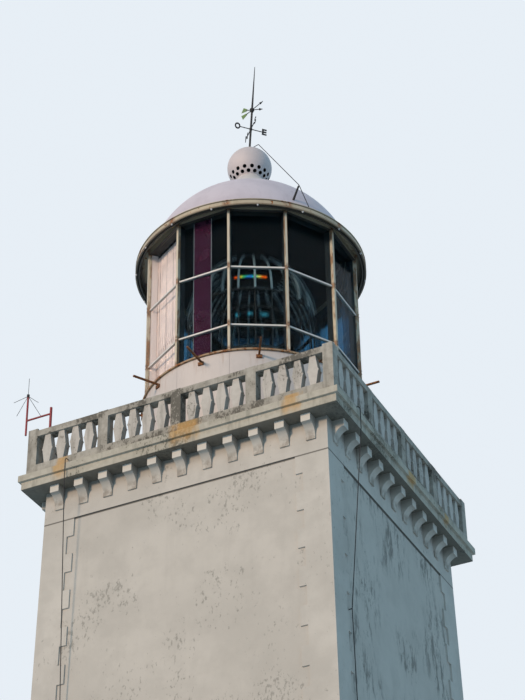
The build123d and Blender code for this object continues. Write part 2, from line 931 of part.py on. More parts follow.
def down_cable(x, landing):
    """Cable at the front: off the curb, over the slab's edge and down to the plinth."""
    edge = gallery_slab_half + conductor_radius + conductor_gap
    start = deck + conductor_rise_on_curb

    def beside_wall(z):
        return -(stucco_half(z) + conductor_wall_gap + conductor_radius)

    points = [
        (x, -balustrade_half, start),
        (x, -edge, start),
        (x, -edge, soffit - conductor_drop_below_slab),
        (x, beside_wall(landing), landing),
        (x, beside_wall(plinth_height), plinth_height),
    ]
    return cable(points)


def wall_standoffs(run, x, landing, skin):
    """Short bars from the front wall's face to the cable, from the landing down."""
    wall = frustum(wall_half(0), wall_half(soffit), 0, soffit)
    count = int((landing - plinth_height) // standoff_spacing) + 1
    bars = []
    for i in range(count):
        z = landing - i * standoff_spacing
        reach = stucco_half(z) + conductor_wall_gap + conductor_radius
        bar = round_bar((x, -room_half, z), (x, -reach, z), standoff_radius)
        bars.append(bar - wall - skin - run)
    return bars


def conductor(skin, band):
    at_clamp = mast_frame() * Pos(0, 0, mast_clamp_level)
    way = radians(eave_landing_angle)
    landing = (
        eave_landing_radius * sin(way),
        -eave_landing_radius * cos(way),
        glazing_top + head_height,
    )
    start = at_clamp.position
    top = cable([(start.X, start.Y, start.Z), ball_pass, dome_standoff_tip, landing])
    shaft = at_clamp * Cylinder(mast_radius, 2 * mast_clamp_level)
    top = (top - shaft - band).solids().sort_by(SortBy.VOLUME)[-1]
    foot = Vector(*dome_standoff_foot)
    centre = Vector(0, 0, dome_centre)
    inside = centre + (foot - centre) * ((dome_radius - dome_shell) / dome_radius)
    standoff = round_bar((inside.X, inside.Y, inside.Z), dome_standoff_tip, standoff_radius)
    standoff -= Pos(0, 0, dome_centre) * Sphere(dome_radius)
    standoff -= top

    front_landing = soffit - front_cable_landing
    right_landing = soffit - right_cable_landing
    front = down_cable(front_cable_x, front_landing)
    right = down_cable(right_cable_y, right_landing)
    save("lightning_conductor", [top, front, turned(right, 90)])
    on_front = wall_standoffs(front, front_cable_x, front_landing, skin)
    on_right = wall_standoffs(right, right_cable_y, right_landing, skin)
    save("conductor_standoffs", [standoff] + on_front + [turned(b, 90) for b in on_right])


# Optic

def on_arc(centre_x, level, radius, turn):
    """Point on the ribs' arc, which starts upright at a level."""
    return (centre_x + radius * cos(radians(turn)), level + radius * sin(radians(turn)))


def optic():
    """Pedestal, base ring, lens belt, ribs with prism rings between them, and the lamp."""
    table = deck + pedestal_height
    inside = pedestal_radius - pedestal_wall
    casing = tube(pedestal_radius, inside, deck, table)
    casing += Pos(0, 0, table - pedestal_wall / 2) * Cylinder(pedestal_radius, pedestal_wall)
    save("optic_pedestal", casing)

    ring_top = table + optic_base_ring_height
    ring_out = optic_radius + optic_bar_radius
    base = tube(ring_out, ring_out - optic_base_ring_width, table, ring_top)
    foot_low = sill_top + optic_foot_ring_level
    knee = foot_low + optic_foot_ring_height
    half_ring = optic_foot_ring_width / 2
    foot_ring = tube(optic_radius + half_ring, optic_radius - half_ring, foot_low, knee)
    save("optic_base_ring", [base, foot_ring])
    bar = round_bar((optic_radius, 0, ring_top), (optic_radius, 0, foot_low), optic_bar_radius)
    save("optic_bars", all_round(bar, optic_rib_count))

    crown = sill_top + optic_top_level
    lift = crown - knee
    inward = optic_radius - optic_top_radius
    arc_radius = (inward**2 + lift**2) / (2 * inward)
    centre_x = optic_radius - arc_radius
    crown_turn = degrees(asin(lift / arc_radius))
    end_turn = crown_turn + degrees(2 * optic_rib_radius / arc_radius)
    middle = on_arc(centre_x, knee, arc_radius, end_turn / 2)
    end = on_arc(centre_x, knee, arc_radius, end_turn)
    path = Plane.XZ * ThreePointArc((optic_radius, knee), middle, end)
    section = Plane(origin=(optic_radius, 0, knee), z_dir=(0, 0, 1)) * Circle(optic_rib_radius)
    above = Pos(0, 0, crown + optic_radius) * Box(
        2 * optic_radius + 2 * half_ring, 2 * optic_radius, 2 * optic_radius
    )
    rib = sweep(section, path=path) - above
    save("optic_ribs", all_round(rib, optic_rib_count))
    half_top = optic_top_ring_width / 2
    save(
        "optic_crown",
        tube(
            optic_top_radius + half_top,
            optic_top_radius - half_top,
            crown,
            crown + optic_top_ring_height,
        ),
    )
    save("optic_lens", belt(ring_top) + prisms(centre_x, knee, arc_radius))
    belt_cap(ring_top + belt_height)
    lamp(table)


def belt(low):
    """The lens belt on the base ring, stepped outside like a saw."""
    facet = belt_height / belt_facets
    points = [(belt_radius - belt_thickness, low)]
    for i in range(belt_facets):
        points.append((belt_radius, low + i * facet))
        points.append((belt_radius - belt_facet_depth, low + (i + 1) * facet))
    points.append((belt_radius - belt_thickness, low + belt_height))
    return [revolve(make_face(Plane.XZ * Polyline(*points, close=True)), Axis.Z)]


def prisms(centre_x, knee, arc_radius):
    """Three-sided rings that lie against the inner side of the ribs."""
    touch = arc_radius - optic_rib_radius - optic_seat_gap
    rings = []
    for i in range(prism_count):
        start = prism_first_turn + i * prism_step
        points = [
            on_arc(centre_x, knee, touch, start),
            on_arc(centre_x, knee, touch, start + prism_turn),
            on_arc(centre_x, knee, touch - prism_depth, start + prism_turn / 2),
        ]
        rings.append(revolve(make_face(Plane.XZ * Polyline(*points, close=True)), Axis.Z))
    return rings


def belt_cap(low):
    """Sloping ring that closes the lens belt at its top."""
    outer = belt_radius - belt_facet_depth
    top = low + belt_cap_height
    points = [
        (outer - belt_cap_thickness, low),
        (outer, low),
        (outer, low + belt_cap_thickness),
        (belt_cap_inner_radius + belt_cap_thickness, top),
        (belt_cap_inner_radius, top),
        (belt_cap_inner_radius, top - belt_cap_thickness),
    ]
    section = make_face(Plane.XZ * Polyline(*points, close=True))
    save("optic_belt_cap", revolve(section, Axis.Z))


def lamp(table):
    """Lamp on its stem, and a thin rod beside it."""
    stem_top = table + lamp_level
    stem = round_bar((0, 0, table), (0, 0, stem_top), lamp_stem_radius)
    bulb = round_bar((0, 0, stem_top), (0, 0, stem_top + lamp_height), lamp_radius)
    save("optic_lamp", stem + bulb)
    rod_top = sill_top + centre_rod_level
    rod = round_bar(
        (centre_rod_x, centre_rod_y, table), (centre_rod_x, centre_rod_y, rod_top), centre_rod_radius
    )
    save("optic_centre_rod", rod)


def curtain():
    """Cloth that hangs behind the glazing of one bay, against its two mullions."""
    face_circle = mullion_circle - mullion_depth
    half_step = radians(lantern_step / 2)
    face_middle = face_circle * cos(half_step)
    chord_half = face_circle * sin(half_step)
    face_at_edge = face_middle + (chord_half - curtain_half_width) * tan(half_step)
    outer = face_at_edge - curtain_seat_gap
    cloth = block(
        -curtain_half_width,
        curtain_half_width,
        -outer,
        -outer + curtain_thickness,
        sill_top + curtain_foot_gap,
        glazing_top - curtain_head_gap,
    )
    save("lantern_curtain", turned(cloth, curtain_bay_angle))


# Aerial

def aerial():
    y = -(balustrade_half - balustrade_thickness / 2)
    post_x = -(balustrade_half - aerial_post_setback)
    post = round_bar((post_x, y, rail_top), (post_x, y, rail_top + aerial_post_height), aerial_post_radius)
    arm_level = rail_top + aerial_arm_level
    pole_x = post_x - aerial_arm_length
    arm = round_bar((post_x, y, arm_level), (pole_x, y, arm_level), aerial_arm_radius)
    pole_low = arm_level - aerial_pole_drop
    pole_high = arm_level + aerial_pole_rise
    pole = round_bar((pole_x, y, pole_low), (pole_x, y, pole_high), aerial_pole_radius)
    save("aerial_stand", post + arm + pole)
    cap_top = pole_high + aerial_cap_height
    cap = round_bar((pole_x, y, pole_high), (pole_x, y, cap_top), aerial_cap_radius)
    whip = round_bar(
        (pole_x, y, cap_top), (pole_x, y, cap_top + aerial_whip_length), aerial_whip_radius
    )
    head = cap + whip
    middle = pole_high + aerial_cap_height / 2
    run = aerial_radial_length * cos(radians(aerial_radial_slope))
    fall = aerial_radial_length * sin(radians(aerial_radial_slope))
    for i in range(4):
        way = radians(aerial_radial_turn + 90 * i)
        end = (pole_x + run * cos(way), y + run * sin(way), middle - fall)
        head += round_bar((pole_x, y, middle), end, aerial_whip_radius)
    save("aerial_whip", head - pole)


walls()
plinth()
ground_floor()
stucco_skin = stucco()
entrance()
corbels()
gallery_slabs()
balustrade()
drum()
sill()
lantern()
eave_top, eave_body = eave()
dome(eave_top)
vent()
mast()
vane()
conductor(stucco_skin, eave_body)
optic()
curtain()
aerial()
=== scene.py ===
"""Finish of the lighthouse tower: paint, render, rust and glass, small fittings, light and camera."""
from math import cos, pi, radians, sin

import bmesh
import bpy
from mathutils import Matrix, Vector


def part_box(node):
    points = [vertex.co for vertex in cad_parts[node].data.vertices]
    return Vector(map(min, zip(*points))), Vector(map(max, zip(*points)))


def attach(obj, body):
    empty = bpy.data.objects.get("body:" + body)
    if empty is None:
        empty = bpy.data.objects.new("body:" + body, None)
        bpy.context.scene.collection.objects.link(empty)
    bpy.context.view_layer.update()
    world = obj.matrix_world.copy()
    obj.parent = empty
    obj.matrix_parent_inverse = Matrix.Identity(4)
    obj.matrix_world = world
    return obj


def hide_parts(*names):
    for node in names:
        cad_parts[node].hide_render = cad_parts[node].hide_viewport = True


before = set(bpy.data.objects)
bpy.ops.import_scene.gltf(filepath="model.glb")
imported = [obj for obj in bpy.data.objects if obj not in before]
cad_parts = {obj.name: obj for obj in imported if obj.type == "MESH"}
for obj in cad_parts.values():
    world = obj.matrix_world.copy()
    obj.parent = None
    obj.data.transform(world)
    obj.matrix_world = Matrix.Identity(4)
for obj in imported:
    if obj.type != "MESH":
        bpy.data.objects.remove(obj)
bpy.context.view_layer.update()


def levels_of(node):
    """The lowest and the highest level of a CAD node."""
    low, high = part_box(node)
    return low[2], high[2]


# Places on the tower, in metres; levels are above the ground, reaches and radii from the axis
soffit = levels_of("gallery_soffit_slab")[0]
deck = levels_of("gallery_floor_slab")[1]
band_bottom = soffit - 0.585
corbel_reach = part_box("corbels")[1][0]
outer_reach = (2.6, 2.7)  # the gallery's outer faces: none below the first, all beyond the second
sill_low, sill_top = levels_of("lantern_sill")
glazing_top = levels_of("lantern_mullions")[1]
eave_low, eave_top = levels_of("eave_band")
eave_radius = 2.099
bead_top = eave_low + 0.037
lip_bottom = eave_top - 0.065
drum_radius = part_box("drum_plates")[1][0]
lantern_sides = 12
side_step = 360.0 / lantern_sides
first_mullion = side_step / 2
mullion_radius = 1.936
mullion_width = 0.042
glass_circle = 1.880
bar_low, bar_high = levels_of("glazing_bars")
bar_height = 0.030
bar_levels = (bar_low + bar_height / 2, bar_high - bar_height / 2)
dome_radius = 1.930
dome_centre = 22.061
dome_shell = 0.012
ball_top = levels_of("vent_ball")[1]
ball_radius = 0.421
ball_shell = 0.008
ball_centre = ball_top - ball_radius
mast_lean = radians(3.3)
mast_way = radians(116.0)
mast_along = Vector((sin(mast_lean) * sin(mast_way), -sin(mast_lean) * cos(mast_way), cos(mast_lean)))


# Node helpers

def feed(tree, socket, value):
    """Gives an input a value, or links another node's output to it."""
    if isinstance(value, bpy.types.NodeSocket):
        tree.links.new(value, socket)
    else:
        socket.default_value = value


def put(tree, kind, settings=None, **inputs):
    """A shader node with its settings and inputs; an input goes by its name, or by its number as in _0."""
    made = tree.nodes.new("ShaderNode" + kind)
    for name, value in (settings or {}).items():
        setattr(made, name, value)
    for name, value in inputs.items():
        place = int(name[1:]) if name[0] == "_" else name.replace("_", " ")
        feed(tree, made.inputs[place], value)
    return made


def math(tree, operation, first, second=0.0):
    """The result of a sum, a product or another operation."""
    return put(tree, "Math", {"operation": operation}, _0=first, _1=second).outputs[0]


def times(tree, first, *others):
    """The product of all the values given."""
    for other in others:
        first = math(tree, "MULTIPLY", first, other)
    return first


def mix(tree, factor, first, second):
    """Colour mix; 6 and 7 are the colour inputs, 2 the colour output."""
    return put(tree, "Mix", {"data_type": "RGBA"}, _0=factor, _6=first, _7=second).outputs[2]


def lay(tree, base, colour, mask, amount):
    """A colour laid over another one where a mask is 1, as thickly as the amount says."""
    return mix(tree, times(tree, mask, amount), base, colour)


def between(tree, value, low, high):
    """0 below low, 1 above high, smooth in between; low may be above high."""
    made = put(
        tree,
        "MapRange",
        {"interpolation_type": "SMOOTHSTEP"},
        Value=value,
        From_Min=low,
        From_Max=high,
    )
    return made.outputs["Result"]


def within(tree, value, rise, fall):
    """1 between two soft edges; each edge says where it is 0 and where it is 1."""
    return times(tree, between(tree, value, *rise), between(tree, value, *fall))


def noise(tree, place, scale, detail, roughness):
    """Noise from 0 to 1, mostly near a half."""
    made = put(tree, "TexNoise", Vector=place, Scale=scale, Detail=detail, Roughness=roughness)
    return made.outputs["Fac"]


def stretched(tree, place, factors):
    """A place with its axes scaled; a small factor draws a pattern out along its axis."""
    made = put(tree, "Mapping", Vector=place)
    made.inputs["Scale"].default_value = factors
    return made.outputs["Vector"]


def length(tree, vector):
    """The length of a vector."""
    return put(tree, "VectorMath", {"operation": "LENGTH"}, _0=vector).outputs["Value"]


def shade(red, green, blue):
    """An opaque colour."""
    return (red, green, blue, 1.0)


def group(name, inputs, outputs):
    """An empty node group with named sockets, and its input and output nodes."""
    tree = bpy.data.node_groups.new(name, "ShaderNodeTree")
    for label, kind, value in inputs:
        socket = tree.interface.new_socket(label, in_out="INPUT", socket_type="NodeSocket" + kind)
        if value is not None:
            socket.default_value = value
    for label, kind in outputs:
        tree.interface.new_socket(label, in_out="OUTPUT", socket_type="NodeSocket" + kind)
    return tree, tree.nodes.new("NodeGroupInput").outputs, tree.nodes.new("NodeGroupOutput").inputs


# Shared effects

def make_patches():
    """Soft irregular patches."""
    tree, given, result = group(
        "Patches",
        [
            ("Place", "Vector", None),
            ("Scale", "Float", 1.0),
            ("Low", "Float", 0.45),
            ("High", "Float", 0.6),
        ],
        [("Mask", "Float")],
    )
    value = noise(tree, given["Place"], given["Scale"], 5.0, 0.6)
    tree.links.new(between(tree, value, given["Low"], given["High"]), result["Mask"])
    return tree


def make_streaks():
    """Marks drawn out downwards by rain."""
    tree, given, result = group(
        "Rain streaks",
        [
            ("Place", "Vector", None),
            ("Scale", "Float", 6.0),
            ("Low", "Float", 0.5),
            ("High", "Float", 0.7),
        ],
        [("Mask", "Float")],
    )
    drawn = stretched(tree, given["Place"], (1.0, 1.0, 0.12))
    value = noise(tree, drawn, given["Scale"], 6.0, 0.62)
    tree.links.new(between(tree, value, given["Low"], given["High"]), result["Mask"])
    return tree


def make_lichen():
    """Small flecks of growth that gather in patches; they spread as the amount grows."""
    rarest = 0.67
    spread_gain = 0.18
    softness = 0.07
    tree, given, result = group(
        "Lichen flecks",
        [
            ("Place", "Vector", None),
            ("Fleck Scale", "Float", 14.0),
            ("Patch Scale", "Float", 0.7),
            ("Amount", "Float", 0.5),
        ],
        [("Mask", "Float")],
    )
    drawn = stretched(tree, given["Place"], (1.0, 1.0, 0.55))
    fleck = noise(tree, drawn, given["Fleck Scale"], 5.0, 0.7)
    patch = noise(tree, given["Place"], given["Patch Scale"], 3.0, 0.5)
    spread = times(tree, between(tree, patch, 0.40, 0.68), given["Amount"])
    edge = math(tree, "SUBTRACT", rarest, times(tree, spread, spread_gain))
    high = math(tree, "ADD", edge, softness)
    tree.links.new(between(tree, fleck, edge, high), result["Mask"])
    return tree


def make_rust():
    """Rust colour from brown to orange, and where it lies."""
    brown = shade(0.085, 0.035, 0.018)
    orange = shade(0.36, 0.13, 0.03)
    rarest = 0.78
    spread_gain = 0.45
    softness = 0.08
    tree, given, result = group(
        "Rust",
        [("Place", "Vector", None), ("Scale", "Float", 12.0), ("Amount", "Float", 0.4)],
        [("Color", "Color"), ("Mask", "Float")],
    )
    tone = noise(tree, given["Place"], times(tree, given["Scale"], 2.3), 5.0, 0.6)
    tree.links.new(mix(tree, between(tree, tone, 0.35, 0.65), brown, orange), result["Color"])
    where = noise(tree, given["Place"], given["Scale"], 6.0, 0.65)
    edge = math(tree, "SUBTRACT", rarest, times(tree, given["Amount"], spread_gain))
    high = math(tree, "ADD", edge, softness)
    tree.links.new(between(tree, where, edge, high), result["Mask"])
    return tree


def make_grain():
    """Height of a trowelled or cast surface: fine grain over slow waves."""
    wave_scale = 0.04
    tree, given, result = group(
        "Grain",
        [("Place", "Vector", None), ("Scale", "Float", 60.0), ("Waves", "Float", 0.4)],
        [("Height", "Float")],
    )
    fine = noise(tree, given["Place"], given["Scale"], 4.0, 0.6)
    slow = noise(tree, given["Place"], times(tree, given["Scale"], wave_scale), 3.0, 0.5)
    waves = times(tree, slow, given["Waves"])
    tree.links.new(math(tree, "ADD", fine, waves), result["Height"])
    return tree


def make_run_stain():
    """A stain that runs down a face from a point, given across the face and upwards."""
    raggedness = 1.6
    tree, given, result = group(
        "Run stain",
        [
            ("Across", "Float", 0.0),
            ("Up", "Float", 0.0),
            ("Centre", "Float", 0.0),
            ("Top", "Float", 0.0),
            ("Half Width", "Float", 0.2),
            ("Length", "Float", 0.5),
            ("Ragged", "Float", 0.5),
        ],
        [("Mask", "Float")],
    )
    offset = math(tree, "ABSOLUTE", math(tree, "SUBTRACT", given["Across"], given["Centre"]))
    share = math(tree, "DIVIDE", offset, given["Half Width"])
    shift = times(tree, math(tree, "SUBTRACT", given["Ragged"], 0.5), raggedness)
    sideways = between(tree, math(tree, "ADD", share, shift), 1.1, 0.45)
    fall = math(tree, "DIVIDE", math(tree, "SUBTRACT", given["Top"], given["Up"]), given["Length"])
    fades = between(tree, math(tree, "ADD", fall, times(tree, shift, 0.4)), 1.0, 0.35)
    starts = between(tree, fall, -0.04, 0.04)
    tree.links.new(times(tree, sideways, fades, starts), result["Mask"])
    return tree


def make_joint_marks():
    """Marks at equal angles round the tower's axis: 1 at each joint, 0 away from it."""
    tree, given, result = group(
        "Joint marks",
        [
            ("Place", "Vector", None),
            ("First", "Float", 15.0),
            ("Step", "Float", 30.0),
            ("Width", "Float", 0.03),
        ],
        [("Mask", "Float")],
    )
    parts = put(tree, "SeparateXYZ", Vector=given["Place"]).outputs
    degrees_round = times(tree, math(tree, "ARCTAN2", parts["Y"], parts["X"]), 180.0 / pi)
    from_joint = math(tree, "SUBTRACT", degrees_round, given["First"])
    folded = math(tree, "PINGPONG", from_joint, times(tree, given["Step"], 0.5))
    run = times(tree, folded, pi / 180.0 * drum_radius)
    tree.links.new(between(tree, run, given["Width"], 0.0), result["Mask"])
    return tree


patches = make_patches()
streaks = make_streaks()
lichen = make_lichen()
rust = make_rust()
grain = make_grain()
run_stain = make_run_stain()
joint_marks = make_joint_marks()


# Materials

def use(tree, effect, **inputs):
    """An effect group placed in a material."""
    made = tree.nodes.new("ShaderNodeGroup")
    made.node_tree = effect
    for name, value in inputs.items():
        feed(tree, made.inputs[name.replace("_", " ")], value)
    return made.outputs


class Finish:
    """A material being made: its tree, its shader and the place of the point that is shaded."""

    def __init__(self, name):
        self.material = bpy.data.materials.new(name)
        self.material.use_nodes = True
        self.tree = self.material.node_tree
        self.shader = self.tree.nodes["Principled BSDF"]
        self.place = put(self.tree, "TexCoord").outputs["Object"]
        self.parts = put(self.tree, "SeparateXYZ", Vector=self.place).outputs

    def set(self, **inputs):
        """Gives the shader's inputs their values."""
        for name, value in inputs.items():
            feed(self.tree, self.shader.inputs[name.replace("_", " ")], value)

    def base(self):
        """The base colour as it has been made so far."""
        return self.shader.inputs["Base Color"].links[0].from_socket

    def cover(self, mask, amount, colour):
        """Lays a colour over the base colour where a mask is 1."""
        self.set(Base_Color=lay(self.tree, self.base(), colour, mask, amount))

    def mask(self, effect, **inputs):
        """Where a shared effect lies on this material."""
        return use(self.tree, effect, Place=self.place, **inputs)["Mask"]

    def rust(self, scale, amount):
        """Rust on this material: its Color and its Mask."""
        return use(self.tree, rust, Place=self.place, Scale=scale, Amount=amount)

    def grain(self, scale, waves):
        """The height of this material's grain."""
        return use(self.tree, grain, Place=self.place, Scale=scale, Waves=waves)["Height"]

    def bump(self, height, distance, strength):
        """Makes a height show as relief, the distance in metres."""
        made = put(self.tree, "Bump", Strength=strength, Distance=distance, Height=height)
        self.set(Normal=made.outputs["Normal"])


def from_axis(it):
    """Distance from the tower's axis."""
    flat = put(it.tree, "VectorMath", {"operation": "MULTIPLY"}, _0=it.place, _1=(1.0, 1.0, 0.0))
    return length(it.tree, flat.outputs["Vector"])


def make_stucco(name, light, dark, fleck, fleck_amount, mould_amount=0.0):
    """Limewashed render: grey blooms, lichen, faint rain streaks and, where asked for, mould; painted
    shade darkens a line under the band's edge and the wall under the slab.
    """
    mould_black = shade(0.11, 0.11, 0.10)
    band_edge_shadow_and_grime = shade(0.055, 0.048, 0.04)
    under_slab_painted_shade = shade(0.17, 0.15, 0.12)
    it = Finish(name)
    tree = it.tree
    up = it.parts["Z"]
    bloom = it.mask(patches, Scale=0.55, Low=0.40, High=0.66)
    cloud = it.mask(patches, Scale=2.6, Low=0.42, High=0.68)
    streak = it.mask(streaks, Scale=3.2, Low=0.48, High=0.72)
    flecks = it.mask(lichen, Fleck_Scale=19.0, Patch_Scale=0.9, Amount=fleck_amount)
    colour = lay(tree, light, dark, bloom, 0.55)
    colour = lay(tree, colour, dark, cloud, 0.40)
    colour = lay(tree, colour, dark, streak, 0.30)
    colour = lay(tree, colour, fleck, flecks, 0.55)
    if mould_amount:
        drawn = stretched(tree, it.place, (1.0, 1.0, 0.28))
        spots = between(tree, noise(tree, drawn, 7.0, 6.0, 0.68), 0.49, 0.62)
        where = it.mask(patches, Scale=0.9, Low=0.41, High=0.60)
        colour = mix(tree, times(tree, spots, where, mould_amount), colour, mould_black)
    # Painted shadow under the raised band's lower edge, with a little grime in the joint
    band_edge_line = within(
        tree,
        up,
        rise=(band_bottom - 0.030, band_bottom - 0.016),
        fall=(band_bottom + 0.004, band_bottom),
    )
    colour = lay(tree, colour, band_edge_shadow_and_grime, band_edge_line, 0.75)
    # Painted shade on the wall under the slab, deepening towards it
    under_slab = between(tree, up, soffit - 0.24, soffit - 0.02)
    colour = lay(tree, colour, under_slab_painted_shade, under_slab, 0.55)
    it.set(Base_Color=colour, Roughness=0.92)
    it.bump(it.grain(45.0, 1.2), 0.004, 0.5)
    return it


def make_corbel_stucco():
    """Smooth render on the corbels, with painted light on their front faces and darker in patches low on
    the curve underneath.
    """
    front_painted_light = shade(0.60, 0.555, 0.50)
    low_patch_brown = shade(0.24, 0.20, 0.165)
    it = make_stucco(
        "Corbel render",
        light=shade(0.57, 0.525, 0.47),
        dark=shade(0.42, 0.385, 0.34),
        fleck=shade(0.2, 0.19, 0.17),
        fleck_amount=0.35,
    )
    tree = it.tree
    base = it.base()
    sideways = math(tree, "ABSOLUTE", it.parts["X"])
    forwards = math(tree, "ABSOLUTE", it.parts["Y"])
    reach = math(tree, "MAXIMUM", sideways, forwards)
    # The front faces are painted paler, as painted light
    front = between(tree, reach, corbel_reach - 0.012, corbel_reach - 0.006)
    base = mix(tree, front, base, front_painted_light)
    # Darker brown in patches towards the foot of each corbel
    low = between(tree, it.parts["Z"], soffit - 0.17, soffit - 0.30)
    cloud = it.mask(patches, Scale=9.0, Low=0.35, High=0.6)
    it.set(Base_Color=mix(tree, times(tree, low, cloud, 0.70), base, low_patch_brown))
    return it


front_stains = (
    # centre across, top, half width, length
    (0.20, deck + 0.19, 0.30, 0.50),
    (2.05, deck + 0.13, 0.17, 0.46),
    (-2.08, deck + 0.19, 0.13, 0.52),
)
right_stains = (
    (0.05, deck + 0.05, 0.16, 0.36),
    (1.55, deck + 0.16, 0.12, 0.44),
)


def make_concrete(name, light, dark, growth, growth_amount, stains_and_underside_shade):
    """Weathered concrete with lichen and drip marks; where asked, also rust runs and painted shade on the
    underside.
    """
    stain_ochre = shade(0.66, 0.40, 0.13)
    underside_painted_shade = shade(0.075, 0.068, 0.055)
    it = Finish(name)
    tree = it.tree
    up = it.parts["Z"]
    cloud = it.mask(patches, Scale=1.6, Low=0.38, High=0.62)
    small = it.mask(patches, Scale=11.0, Low=0.42, High=0.60)
    streak = it.mask(streaks, Scale=9.0, Low=0.50, High=0.68)
    flecks = it.mask(lichen, Fleck_Scale=27.0, Patch_Scale=1.6, Amount=growth_amount)
    colour = lay(tree, light, dark, cloud, 0.6)
    colour = lay(tree, colour, dark, small, 0.35)
    colour = lay(tree, colour, growth, streak, 0.35)
    colour = lay(tree, colour, growth, flecks, 0.75)
    if stains_and_underside_shade:
        orange = mix(tree, 0.65, it.rust(7.0, 0.9)["Color"], stain_ochre)
        ragged = noise(tree, stretched(tree, it.place, (1.0, 1.0, 0.25)), 9.0, 5.0, 0.6)
        for stains, across, outwards in (
            (front_stains, it.parts["X"], times(tree, it.parts["Y"], -1.0)),
            (right_stains, it.parts["Y"], it.parts["X"]),
        ):
            outside = between(tree, outwards, *outer_reach)
            for centre, top, half_width, run in stains:
                mark = use(
                    tree,
                    run_stain,
                    Across=across,
                    Up=up,
                    Centre=centre,
                    Top=top,
                    Half_Width=half_width,
                    Length=run,
                    Ragged=ragged,
                )["Mask"]
                colour = mix(tree, times(tree, mark, outside, 0.7), colour, orange)
        # Painted shade on the slab's underside
        underside = between(tree, up, soffit + 0.010, soffit + 0.004)
        colour = lay(tree, colour, underside_painted_shade, underside, 0.75)
    it.set(Base_Color=colour, Roughness=0.93)
    it.bump(it.grain(70.0, 0.8), 0.004, 0.7)
    return it


def make_paint(name, colour, shadow, rust_amount, roughness, rust_scale=9.0):
    """Brushed or sprayed paint on iron, chalked by the weather and rusting through in places."""
    rust_roughness = 0.9
    rust_depth = 0.5
    it = Finish(name)
    tree = it.tree
    cloud = it.mask(patches, Scale=1.8, Low=0.38, High=0.66)
    streak = it.mask(streaks, Scale=11.0, Low=0.50, High=0.72)
    base = lay(tree, colour, shadow, cloud, 0.5)
    base = lay(tree, base, shadow, streak, 0.35)
    iron = it.rust(rust_scale, rust_amount)
    rougher = times(tree, iron["Mask"], rust_roughness - roughness)
    it.set(
        Base_Color=mix(tree, iron["Mask"], base, iron["Color"]),
        Roughness=math(tree, "ADD", rougher, roughness),
    )
    eaten = times(tree, iron["Mask"], rust_depth)
    it.bump(math(tree, "SUBTRACT", it.grain(90.0, 0.5), eaten), 0.001, 0.4)
    return it


def make_shell_paint(name, colour, shadow, centre, radius, shell):
    """Chalky paint on the outside of a round shell; its lining is painted dark as shade."""
    lining_painted_shade = shade(0.010, 0.024, 0.030)
    lining_starts = radius - 0.25 * shell
    lining_full = radius - 0.65 * shell
    it = make_paint(name, colour, shadow, rust_amount=0.05, roughness=0.6, rust_scale=5.0)
    tree = it.tree
    centred = put(tree, "Mapping", Vector=it.place)
    centred.inputs["Location"].default_value = (0.0, 0.0, -centre)
    reach = length(tree, centred.outputs["Vector"])
    lining = between(tree, reach, lining_starts, lining_full)
    # The lining inside the shell is painted dark, as painted shade
    it.set(Base_Color=mix(tree, lining, it.base(), lining_painted_shade))
    return it


def make_drum_paint():
    """The drum's plates: pinkish white, with rust tears below the sill."""
    it = make_paint(
        "Drum paint",
        shade(0.60, 0.53, 0.50),
        shade(0.50, 0.45, 0.43),
        rust_amount=0.10,
        roughness=0.6,
        rust_scale=6.0,
    )
    tree = it.tree
    base = it.base()
    tears = it.mask(streaks, Scale=14.0, Low=0.52, High=0.66)
    near_sill = between(tree, it.parts["Z"], sill_low - 0.45, sill_low - 0.02)
    brown = mix(tree, 0.5, shade(0.30, 0.15, 0.07), base)
    it.set(Base_Color=mix(tree, times(tree, tears, near_sill, 0.6), base, brown))
    return it


def make_frame_paint(name, colour, shadow, rust_amount, joint_width):
    """Paint on the lantern's rings and bars, rusty beside each mullion."""
    it = make_paint(name, colour, shadow, rust_amount, roughness=0.5, rust_scale=13.0)
    joint = it.mask(joint_marks, First=first_mullion, Step=side_step, Width=joint_width)
    iron = it.rust(16.0, 0.85)
    rusty = times(it.tree, joint, iron["Mask"])
    it.set(Base_Color=mix(it.tree, rusty, it.base(), iron["Color"]))
    return it


def make_head_paint():
    """The ring over the panes: cream, with painted shade on its underside."""
    it = make_frame_paint(
        "Head paint",
        shade(0.46, 0.39, 0.28),
        shade(0.33, 0.27, 0.18),
        rust_amount=0.30,
        joint_width=0.09,
    )
    # Painted shade along the ring's underside
    below = between(it.tree, it.parts["Z"], glazing_top + 0.006, glazing_top + 0.002)
    it.set(Base_Color=mix(it.tree, below, it.base(), shade(0.045, 0.040, 0.034)))
    return it


def make_eave_paint():
    """Cream fascia and lip, painted shadow in the recess under the lip, a bead darkened by rust and
    painted shade, and painted shade on the underside.
    """
    it = make_frame_paint(
        "Eave paint",
        shade(0.48, 0.40, 0.29),
        shade(0.32, 0.25, 0.16),
        rust_amount=0.44,
        joint_width=0.10,
    )
    tree = it.tree
    up = it.parts["Z"]
    recess = within(
        tree,
        up,
        rise=(lip_bottom - 0.022, lip_bottom - 0.014),
        fall=(lip_bottom, lip_bottom - 0.003),
    )
    # Painted shadow in the recess under the lip
    it.cover(recess, 0.85, shade(0.040, 0.034, 0.028))
    # Rust and painted shade darken the bead at the bottom
    bead = between(tree, up, bead_top + 0.004, bead_top - 0.002)
    it.cover(bead, 0.75, shade(0.13, 0.085, 0.05))
    # Painted shade on the underside inside the fascia
    inside = between(tree, from_axis(it), eave_radius - 0.016, eave_radius - 0.021)
    below = between(tree, up, eave_top - 0.02, eave_top - 0.04)
    it.cover(times(tree, inside, below), 0.85, shade(0.050, 0.042, 0.034))
    return it


